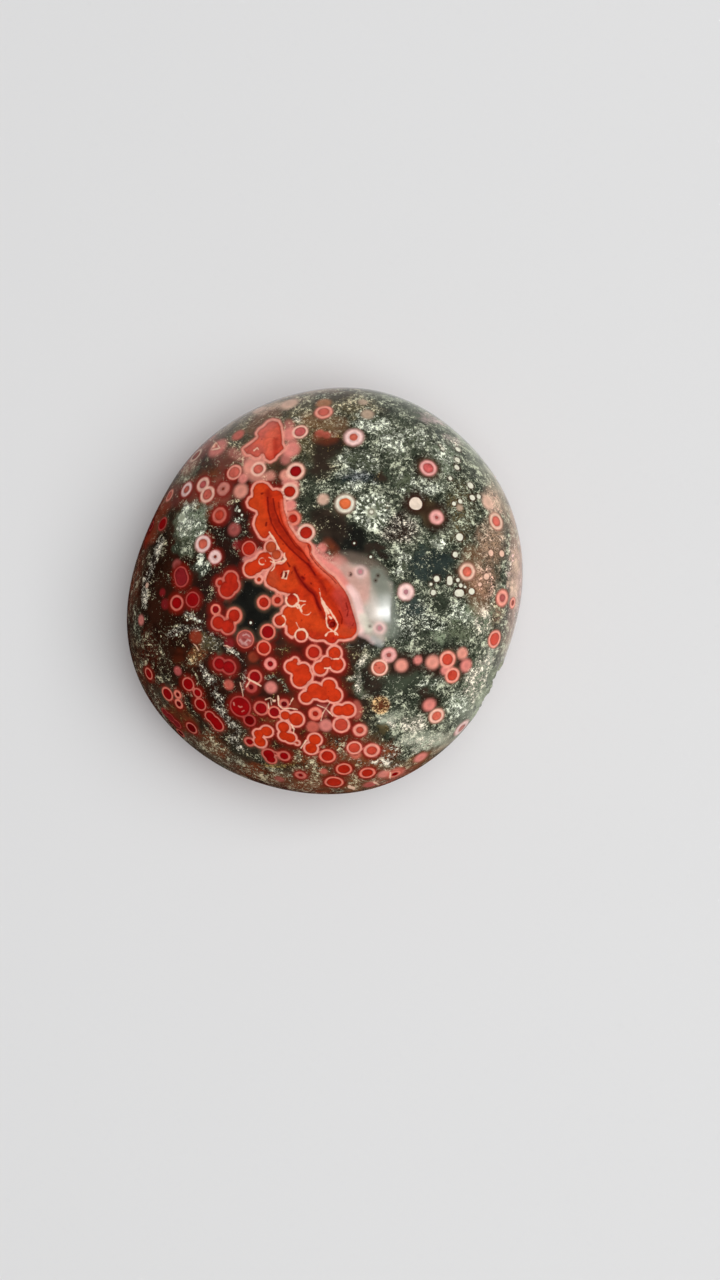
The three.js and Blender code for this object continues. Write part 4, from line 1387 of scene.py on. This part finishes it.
class OBJECT_OT_jasper_stone(bpy.types.Operator):
    """Adds the polished stone with all its marks"""

    bl_idname = "object.jasper_stone"
    bl_label = "Jasper Stone"
    bl_options = {"REGISTER", "UNDO"}

    def execute(self, context):
        shape = context.scene.jasper_shape
        colours = context.scene.jasper_colours
        build = sphere_mesh()
        directions = np.array([vertex.co[:] for vertex in build.verts])
        whole = surface_points(directions)
        marks = all_marks(directions, whole, palette(colours))
        points, broken, pitted = scooped(whole, surface_normals(directions))
        # Painted shade in the pits of a core, darker with depth, kept with the seams.
        in_core = (pitted > 0) & (marks.ring < IN_CORE)
        marks.seam = np.where(in_core, np.minimum(marks.seam, PIT_SHADE - pitted), marks.seam)
        for vertex, place in zip(build.verts, fitted(points, shape)):
            vertex.co = place
        finish_faces(build)
        stone = made(context, build, "jasper_stone", jasper_material(colours, shape))
        store(stone.data, "broken", broken)
        for name in ("ring", "glow", "disc", "moss", "quartz", "seam"):
            store(stone.data, name, getattr(marks, name))
        for name in ("core_tint", "disc_tint", "halo_tint", "glow_tint", "ground_tint", "fleck_tint"):
            store(stone.data, name, with_alpha(getattr(marks, name), 1.0))
        store(stone.data, "ring_tint", with_alpha(marks.ring_tint, marks.ring_share))
        store(stone.data, "deep_and_sheen_tint", with_alpha(marks.deep_and_sheen_tint, marks.deep_and_sheen))
        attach(stone, "root")
        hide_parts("stone")
        return {"FINISHED"}


def fitted(points, shape):
    """Millimetre points brought to metres, with their box as wide, long and high as the stone's."""
    low, high = points.min(axis=0), points.max(axis=0)
    size = np.array((shape.width, shape.length, shape.height))
    middle = np.array(((low[0] + high[0]) / 2, (low[1] + high[1]) / 2, low[2]))
    return (points - middle) * (size / (high - low))


# ---------------------------------------------------------------------------------- the material


NOISE_SPAN = (0.3, 0.7)  # nearly all of a noise lies between these


class Nodes:
    """Short ways to add and join a material's nodes."""

    def __init__(self, tree):
        self.tree = tree
        self.row = 0

    def add(self, kind, **settings):
        """A new node, set beside the last one."""
        node = self.tree.nodes.new(kind)
        self.row += 1
        node.location = (self.row % 12 * 190, -(self.row // 12) * 260)
        for name, value in settings.items():
            setattr(node, name, value)
        return node

    def put(self, socket, value):
        """Sets an input to a number or colour, or joins it to another node's output."""
        if isinstance(value, bpy.types.NodeSocket):
            self.tree.links.new(value, socket)
        elif isinstance(value, (tuple, list, np.ndarray)) and len(value) == 3 and socket.type == "RGBA":
            socket.default_value = (*value, 1.0)
        else:
            socket.default_value = value

    def read(self, name):
        """The attribute node of one of the mesh's marks."""
        return self.add("ShaderNodeAttribute", attribute_name=name)

    def value(self, name):
        """A mark, as a number."""
        return self.read(name).outputs["Fac"]

    def tint(self, name):
        """A mark, as a colour."""
        return self.read(name).outputs["Color"]

    def math(self, operation, *values):
        """The result of a math node."""
        node = self.add("ShaderNodeMath", operation=operation)
        for socket, value in zip(node.inputs, values):
            self.put(socket, value)
        return node.outputs[0]

    def ramp(self, value, low, high, to_low=0.0, to_high=1.0):
        """A smooth step of a value between two bounds."""
        node = self.add("ShaderNodeMapRange", interpolation_type="SMOOTHSTEP")
        self.put(node.inputs["Value"], value)
        self.put(node.inputs["From Min"], low)
        self.put(node.inputs["From Max"], high)
        self.put(node.inputs["To Min"], to_low)
        self.put(node.inputs["To Max"], to_high)
        return node.outputs["Result"]

    def mix(self, factor, first, second):
        """The second colour laid over the first by a factor."""
        node = self.add("ShaderNodeMix", data_type="RGBA")
        self.put(node.inputs["Factor"], factor)
        self.put(node.inputs["A"], first)
        self.put(node.inputs["B"], second)
        return node.outputs["Result"]

    def grain(self, place, per_millimetre, detail=3.0, roughness=0.55, distortion=0.0):
        """Noise with this many waves to the millimetre."""
        node = self.add("ShaderNodeTexNoise")
        self.put(node.inputs["Vector"], place)
        self.put(node.inputs["Scale"], per_millimetre / MILLIMETRE)
        self.put(node.inputs["Detail"], detail)
        self.put(node.inputs["Roughness"], roughness)
        self.put(node.inputs["Distortion"], distortion)
        return node.outputs["Fac"]

    def mottle(self, place, per_millimetre, low, high, *detail):
        """Noise as a factor between two values."""
        return self.ramp(self.grain(place, per_millimetre, *detail), *NOISE_SPAN, low, high)

    def centred(self, place, per_millimetre, *detail):
        """Noise around 0."""
        return self.math("SUBTRACT", self.grain(place, per_millimetre, *detail), 0.5)

    def sway(self, distance, wobble, height):
        """A distance that wanders, so that an edge isn't a perfect curve."""
        return self.math("ADD", distance, self.math("MULTIPLY", wobble, height))

    def curls(self, place, per_millimetre, core, edge):
        """Thin curling lines, where a noise passes its middle value."""
        away = self.math("ABSOLUTE", self.centred(place, per_millimetre, 1.5, 0.5, 1.3))
        return self.ramp(away, core, edge, 1.0, 0.0)

    def shade(self, colour, factor):
        """A colour made lighter or darker by a factor."""
        node = self.add("ShaderNodeVectorMath", operation="SCALE")
        self.put(node.inputs[0], colour)
        self.put(node.inputs["Scale"], factor)
        return node.outputs[0]


# Waves to the millimetre of the noise in each layer of the stone.
CLOUD_WAVES = 0.22
CLUMP_WAVES = 0.34
CHUNK_WAVES = 0.75
GRAIN_WAVES = 2.2
GAP_WAVES = 1.15
CURL_WAVES = 0.9
SPARKLE_WAVES = 1.5
DEEP_WAVES = 0.6
WOBBLE_WAVES = 0.9
DISC_WAVES = 1.4
RING_WAVES = 1.1
CORE_WAVES = 0.7
PATCH_WAVES = 0.45
SPECK_WAVES = 1.0
CHIP_WAVES = 1.6
RELIEF_WAVES = 0.12
FLOOR_WAVES = 0.004

# Millimetres by which the edges of the marks wander.
DISC_SWAY = 0.25
GLOW_SWAY = 0.5
RING_SWAY = 0.45
SEAM_SWAY = 0.35
QUARTZ_SWAY = 0.45

# Where an edge starts and ends, in millimetres, or in ring widths for a core.
DISC_EDGE = (-0.08, 0.08)
DISC_SHADOW = (0.0, 0.5)
GLOW_FADE = (0.0, 1.2)
CORE_EDGE = (-0.12, 0.16)
CORE_RIM = (-0.75, -0.05)
SEAM_EDGE = (-0.1, 0.16)
QUARTZ_EDGE = (-0.08, 0.14)

# Moss shows where its noise rises above a level that sinks as its density grows.
MOSS_LEVEL = 0.76
MOSS_SINK = 0.33
CLUMP_SHARE = 0.75
CHUNK_SHARE = 0.45

# The finish: a glossy coat over a body with little shine of its own, and a rough, dusty break.
COAT_WEIGHT = 0.35
COAT_ROUGHNESS = 0.035
COAT_IOR = 1.5
BODY_SPECULAR = 0.1
BREAK_ROUGHNESS = 0.6
BREAK_DEPTH = (0.02, 0.12)  # millimetres of sinking at which the break starts to show, and fully does
RELIEF_STRENGTH = 0.35
RELIEF_HEIGHT = 0.12


def jasper_material(colours, shape):
    """Polished orbicular jasper: ground, moss, deep colours, orbs, vein and quartz, layer on layer."""
    tints = palette(colours)
    material = bpy.data.materials.new("Polished ocean jasper")
    material.use_nodes = True
    tree = material.node_tree
    tree.nodes.clear()
    nodes = Nodes(tree)
    place = nodes.add("ShaderNodeTexCoord").outputs["Object"]
    colour = ground_colour(nodes, place)
    colour = moss_colour(nodes, place, colour)
    colour = deep_and_sheen_colour(nodes, place, colour)
    wobble = nodes.centred(place, WOBBLE_WAVES, 3.0, 0.6)
    colour = disc_colour(nodes, place, colour, tints, wobble)
    colour = ring_colour(nodes, place, colour, wobble)
    colour = core_colour(nodes, place, colour, tints, wobble)
    colour = line_colour(nodes, colour, tints, wobble)
    broken = nodes.ramp(nodes.value("broken"), *BREAK_DEPTH)
    chipped = nodes.grain(place, CHIP_WAVES, 6.0, 0.7)
    dust = nodes.mix(nodes.math("MULTIPLY", chipped, 0.7), colour, tints["chalk"])
    colour = nodes.mix(nodes.math("MULTIPLY", broken, 0.8), colour, dust)
    shader = nodes.add("ShaderNodeBsdfPrincipled")
    nodes.put(shader.inputs["Base Color"], colour)
    nodes.put(shader.inputs["Roughness"], nodes.ramp(broken, 0.0, 1.0, shape.polish, BREAK_ROUGHNESS))
    nodes.put(shader.inputs["Coat Weight"], nodes.ramp(broken, 0.0, 1.0, COAT_WEIGHT, 0.0))
    shader.inputs["Coat Roughness"].default_value = COAT_ROUGHNESS
    shader.inputs["Coat IOR"].default_value = COAT_IOR
    shader.inputs["Specular IOR Level"].default_value = BODY_SPECULAR
    relief = nodes.math("ADD", nodes.grain(place, RELIEF_WAVES, 2.0), nodes.math("MULTIPLY", chipped, broken))
    bump = nodes.add("ShaderNodeBump")
    bump.inputs["Strength"].default_value = RELIEF_STRENGTH
    bump.inputs["Distance"].default_value = RELIEF_HEIGHT * MILLIMETRE
    nodes.put(bump.inputs["Height"], relief)
    nodes.put(shader.inputs["Normal"], bump.outputs["Normal"])
    output = nodes.add("ShaderNodeOutputMaterial")
    tree.links.new(shader.outputs["BSDF"], output.inputs["Surface"])
    return material


def ground_colour(nodes, place):
    """The clear ground, lighter and darker in clouds."""
    return nodes.shade(nodes.tint("ground_tint"), nodes.mottle(place, CLOUD_WAVES, 0.55, 1.55, 4.0, 0.6, 0.4))


def moss_colour(nodes, place, colour):
    """Moss: a haze below, then granular flecks and curls that gather in clumps, with dark gaps between."""
    density = nodes.value("moss")
    fleck = nodes.tint("fleck_tint")
    clumps = nodes.centred(place, CLUMP_WAVES, 3.0, 0.6, 0.4)
    grains = nodes.grain(place, GRAIN_WAVES, 2.5, 0.7, 1.1)
    chunks = nodes.centred(place, CHUNK_WAVES, 2.0, 0.55, 0.6)
    gathered = nodes.math("MULTIPLY_ADD", clumps, CLUMP_SHARE, grains)
    gathered = nodes.math("MULTIPLY_ADD", chunks, CHUNK_SHARE, gathered)
    level = nodes.math("SUBTRACT", MOSS_LEVEL, nodes.math("MULTIPLY", density, MOSS_SINK))
    above = nodes.math("SUBTRACT", gathered, level)
    haze = nodes.ramp(above, -0.22, 0.05, 0.0, 0.85)
    colour = nodes.mix(haze, colour, nodes.shade(fleck, nodes.ramp(density, 0.1, 0.8, 0.04, 0.3)))
    gaps = nodes.curls(place, GAP_WAVES, 0.02, 0.065)
    gaps = nodes.math("MULTIPLY", gaps, nodes.ramp(density, 0.1, 0.5, 0.0, 0.85))
    colour = nodes.mix(gaps, colour, nodes.shade(colour, 0.15))
    bright = nodes.ramp(nodes.grain(place, SPARKLE_WAVES, 2.0, 0.6), 0.34, 0.62, 0.26, 1.35)
    curls = nodes.curls(place, CURL_WAVES, 0.01, 0.034)
    curls = nodes.math("MULTIPLY", curls, nodes.ramp(above, -0.17, -0.03))
    flecks = nodes.math("MAXIMUM", nodes.ramp(above, 0.0, 0.05), curls)
    return nodes.mix(flecks, colour, nodes.shade(fleck, bright))


def deep_and_sheen_colour(nodes, place, colour):
    """Discs and halos that lie below the surface, with the painted sheen of the rim and painted glare of the
    milk in the same layer.
    """
    deep_and_sheen = nodes.read("deep_and_sheen_tint")
    tint = nodes.shade(deep_and_sheen.outputs["Color"], nodes.mottle(place, DEEP_WAVES, 0.88, 1.06))
    return nodes.mix(deep_and_sheen.outputs["Alpha"], colour, tint)


def disc_colour(nodes, place, colour, tints, wobble):
    """Discs and dots, each with a faint shadow round it."""
    edge = nodes.sway(nodes.value("disc"), wobble, DISC_SWAY)
    disc = nodes.shade(nodes.tint("disc_tint"), nodes.mottle(place, DISC_WAVES, 0.86, 1.06))
    shadow = nodes.math("MULTIPLY", nodes.ramp(edge, *DISC_SHADOW, 1.0, 0.0), 0.55)
    colour = nodes.mix(shadow, colour, tints["umber"])
    return nodes.mix(nodes.ramp(edge, *DISC_EDGE, 1.0, 0.0), colour, disc)


def ring_colour(nodes, place, colour, wobble):
    """The glow around an orb, then its ring, which fades outwards into a halo."""
    glow = nodes.sway(nodes.value("glow"), wobble, GLOW_SWAY)
    colour = nodes.mix(nodes.ramp(glow, *GLOW_FADE, 0.85, 0.0), colour, nodes.tint("glow_tint"))
    ring = nodes.read("ring_tint")
    share = ring.outputs["Alpha"]
    edge = nodes.sway(nodes.value("ring"), wobble, RING_SWAY)
    bright = nodes.shade(ring.outputs["Color"], nodes.mottle(place, RING_WAVES, 0.86, 1.1))
    bright = nodes.shade(bright, nodes.ramp(edge, 0.1, 0.6, 0.78, 1.0))
    fading = nodes.ramp(nodes.math("SUBTRACT", edge, share), -0.2, 0.45)
    ring_tint = nodes.mix(fading, bright, nodes.tint("halo_tint"))
    return nodes.mix(nodes.ramp(edge, nodes.math("ADD", share, 0.15), 1.55, 1.0, 0.0), colour, ring_tint)


def core_colour(nodes, place, colour, tints, wobble):
    """The core of an orb or the vein: mottled, patchy and specked, and darker along its edge."""
    edge = nodes.sway(nodes.value("ring"), wobble, RING_SWAY)
    core = nodes.shade(nodes.tint("core_tint"), nodes.mottle(place, CORE_WAVES, 0.8, 1.12, 4.0, 0.65, 0.3))
    patches = nodes.ramp(nodes.grain(place, PATCH_WAVES, 3.0, 0.6, 0.5), 0.54, 0.68, 0.0, 0.5)
    core = nodes.mix(patches, core, nodes.mix(0.5, core, tints["blood"]))
    core = nodes.mix(nodes.ramp(edge, *CORE_RIM), core, nodes.shade(core, 0.72))
    speck = nodes.ramp(nodes.grain(place, SPECK_WAVES, 2.0, 0.5), 0.68, 0.76)
    core = nodes.mix(nodes.math("MULTIPLY", speck, 0.5), core, tints["garnet"])
    return nodes.mix(nodes.ramp(edge, *CORE_EDGE, 1.0, 0.0), colour, core)


def line_colour(nodes, colour, tints, wobble):
    """The dark seams and the painted shade in the pits of a core, then the pale quartz over them."""
    seam = nodes.sway(nodes.value("seam"), wobble, SEAM_SWAY)
    colour = nodes.mix(nodes.ramp(seam, *SEAM_EDGE, 0.8, 0.0), colour, tints["garnet"])
    quartz = nodes.sway(nodes.value("quartz"), wobble, QUARTZ_SWAY)
    return nodes.mix(nodes.ramp(quartz, *QUARTZ_EDGE, 0.95, 0.0), colour, tints["quartz"])


# ---------------------------------------------------------------------------------- the stage


def plain_material(name, colour, roughness):
    """A matt studio surface with a faint unevenness."""
    material = bpy.data.materials.new(name)
    material.use_nodes = True
    nodes = Nodes(material.node_tree)
    shader = material.node_tree.nodes["Principled BSDF"]
    place = nodes.add("ShaderNodeTexCoord").outputs["Object"]
    cloud = nodes.mottle(place, FLOOR_WAVES, 0.985, 1.0)
    nodes.put(shader.inputs["Base Color"], nodes.shade((*linear(colour),), cloud))
    shader.inputs["Roughness"].default_value = roughness
    shader.inputs["Specular IOR Level"].default_value = 0.2
    return material


def only_mirrored(piece):
    """Hides an object from all but the polish."""
    piece.visible_camera = False
    piece.visible_diffuse = False
    piece.visible_shadow = False


class OBJECT_OT_jasper_studio(bpy.types.Operator):
    """Adds the floor, the lights and the camera"""

    bl_idname = "object.jasper_studio"
    bl_label = "Jasper Studio"
    bl_options = {"REGISTER", "UNDO"}

    def execute(self, context):
        settings = context.scene.jasper_studio
        self.add_cove(context, settings)
        self.add_lights(context)
        self.add_camera(context, settings)
        context.scene.view_settings.view_transform = "Standard"
        return {"FINISHED"}

    def add_cove(self, context, settings):
        """A round floor whose edge curves up to a low wall."""
        build = bmesh.new()
        radius = settings.floor_radius
        bmesh.ops.create_circle(build, cap_ends=True, segments=COVE_SEGMENTS, radius=radius)
        rim = [edge for edge in build.edges if edge.is_boundary]
        for step in range(1, COVE_STEPS + 1):
            turn = step / COVE_STEPS * math.pi / 2
            raised = bmesh.ops.extrude_edge_only(build, edges=rim)["geom"]
            corners = [item for item in raised if isinstance(item, bmesh.types.BMVert)]
            rim = [item for item in raised if isinstance(item, bmesh.types.BMEdge)]
            for corner in corners:
                flat = Vector((corner.co.x, corner.co.y, 0)).normalized()
                corner.co = flat * (radius + COVE_CURVE * math.sin(turn))
                corner.co.z = COVE_CURVE * (1 - math.cos(turn))
        finish_faces(build)
        material = plain_material("Matt studio floor", settings.floor_tint, 0.75)
        cove = made(context, build, "studio_cove", material)

    def add_lights(self, context):
        """A soft ceiling, a window and a dark card that show in the polish, and a dim surround."""
        light = bpy.data.lights.new("ceiling", "AREA")
        light.shape = "SQUARE"
        light.size = CEILING_SIZE
        light.energy = CEILING_POWER
        ceiling = bpy.data.objects.new("ceiling", light)
        ceiling.location = CEILING_PLACE
        ceiling.rotation_euler = (-Vector(CEILING_PLACE)).to_track_quat("-Z", "Y").to_euler()
        ceiling.visible_glossy = False
        context.collection.objects.link(ceiling)
        self.add_window(context)
        self.add_card(context)
        world = bpy.data.worlds.new("studio_air")
        world.use_nodes = True
        air = world.node_tree.nodes["Background"]
        air.inputs["Color"].default_value = AIR_TINT
        # Above the wall's edge the air looks as pale as the wall, while the polish mirrors it dim.
        nodes = Nodes(world.node_tree)
        seen = nodes.add("ShaderNodeLightPath").outputs["Is Camera Ray"]
        nodes.put(air.inputs["Strength"], nodes.math("MULTIPLY_ADD", seen, AIR_LIFT, 1.0))
        context.scene.world = world

    def add_window(self, context):
        """A bright pane that only shows in the polish, brightest along its right side."""
        build = bmesh.new()
        bmesh.ops.create_grid(build, x_segments=1, y_segments=1, size=0.5)
        for corner in build.verts:
            side = WINDOW_HIGH if corner.co.x > 0 else WINDOW_LOW
            end = WINDOW_HIGH if corner.co.y > 0 else WINDOW_LOW
            corner.co = (side[0], end[1], WINDOW_UP)
        material = bpy.data.materials.new("Window light")
        material.use_nodes = True
        material.node_tree.nodes.clear()
        nodes = Nodes(material.node_tree)
        place = nodes.add("ShaderNodeSeparateXYZ")
        nodes.put(place.inputs[0], nodes.add("ShaderNodeTexCoord").outputs["Object"])
        along, down = place.outputs["X"], place.outputs["Y"]
        veil = nodes.math("POWER", nodes.ramp(along, *VEIL_LEFT), VEIL_BEND)
        glare = nodes.ramp(along, *GLARE_LEFT)
        for side in (VEIL_TOP, VEIL_BOTTOM):
            veil = nodes.math("MULTIPLY", veil, nodes.ramp(down, *side))
        for side in (GLARE_TOP, GLARE_BOTTOM):
            glare = nodes.math("MULTIPLY", glare, nodes.ramp(down, *side))
        light = nodes.math("MULTIPLY_ADD", glare, GLARE_LIGHT, nodes.math("MULTIPLY", veil, VEIL_LIGHT))
        pane = nodes.add("ShaderNodeEmission")
        nodes.put(pane.inputs["Strength"], light)
        output = nodes.add("ShaderNodeOutputMaterial")
        nodes.tree.links.new(pane.outputs["Emission"], output.inputs["Surface"])
        window = made(context, build, "studio_window", material)
        only_mirrored(window)

    def add_card(self, context):
        """A dark bent card that only shows in the polish, along the left and lower rim."""
        build = bmesh.new()
        bmesh.ops.create_grid(build, x_segments=60, y_segments=8, size=0.5)
        cover = build.verts.layers.float.new("cover")
        for corner in build.verts:
            along, out = corner.co.x + 0.5, corner.co.y + 0.5
            turn = math.radians(CARD_FROM + (CARD_TO - CARD_FROM) * along)
            reach = CARD_RADIUS + CARD_WIDTH * out
            height = CARD_LIFT + CARD_HEIGHT * out**2
            corner.co = Vector((reach * math.cos(turn), reach * math.sin(turn), height)) * MILLIMETRE
            corner[cover] = min(1.0, min(along, 1 - along) / CARD_ENDS, (1 - out) / CARD_TOP)
        material = plain_material("Dark card", CARD_TINT, 0.9)
        nodes = Nodes(material.node_tree)
        blend = nodes.add("ShaderNodeMixShader")
        nodes.put(blend.inputs[0], nodes.value("cover"))
        nodes.put(blend.inputs[1], nodes.add("ShaderNodeBsdfTransparent").outputs[0])
        nodes.put(blend.inputs[2], nodes.tree.nodes["Principled BSDF"].outputs[0])
        nodes.put(nodes.tree.nodes["Material Output"].inputs["Surface"], blend.outputs[0])
        card = made(context, build, "studio_card", material)
        only_mirrored(card)

    def add_camera(self, context, settings):
        """The camera looks straight down on the face."""
        whole = surface_points(np.array([direction_at(turn, 0) for turn in range(360)]))
        middle = (whole.min(axis=0) + whole.max(axis=0)) / 2
        eye = bpy.data.cameras.new("camera")
        eye.lens = settings.lens
        eye.sensor_width = SENSOR
        camera = bpy.data.objects.new("camera", eye)
        camera.location = (
            (EYE_X - middle[0]) * MILLIMETRE,
            (EYE_Y - middle[1]) * MILLIMETRE,
            (EYE_ABOVE_RIM + RIM_PLANE) * MILLIMETRE,
        )
        context.collection.objects.link(camera)
        context.scene.camera = camera


class VIEW3D_PT_jasper(bpy.types.Panel):
    """Lists the stone's and the studio's operators and settings"""

    bl_label = "Ocean Jasper"
    bl_space_type = "VIEW_3D"
    bl_region_type = "UI"
    bl_category = "Jasper"

    def draw(self, context):
        layout = self.layout
        scene = context.scene
        for settings in (scene.jasper_shape, scene.jasper_studio, scene.jasper_colours):
            box = layout.box()
            for name in settings.__annotations__:
                box.prop(settings, name)
        layout.operator(OBJECT_OT_jasper_stone.bl_idname)
        layout.operator(OBJECT_OT_jasper_studio.bl_idname)


CLASSES = (
    JasperColours,
    JasperShape,
    StudioSettings,
    OBJECT_OT_jasper_stone,
    OBJECT_OT_jasper_studio,
    VIEW3D_PT_jasper,
)


def register():
    """Makes the classes and the scene's settings known to Blender."""
    for kind in CLASSES:
        bpy.utils.register_class(kind)
    bpy.types.Scene.jasper_colours = bpy.props.PointerProperty(type=JasperColours)
    bpy.types.Scene.jasper_shape = bpy.props.PointerProperty(type=JasperShape)
    bpy.types.Scene.jasper_studio = bpy.props.PointerProperty(type=StudioSettings)


def unregister():
    """Takes them away again."""
    del bpy.types.Scene.jasper_studio
    del bpy.types.Scene.jasper_shape
    del bpy.types.Scene.jasper_colours
    for kind in reversed(CLASSES):
        bpy.utils.unregister_class(kind)


def main():
    """Builds the stone and its studio."""
    register()
    bpy.ops.object.jasper_stone()
    bpy.ops.object.jasper_studio()


if __name__ == "__main__":
    main()
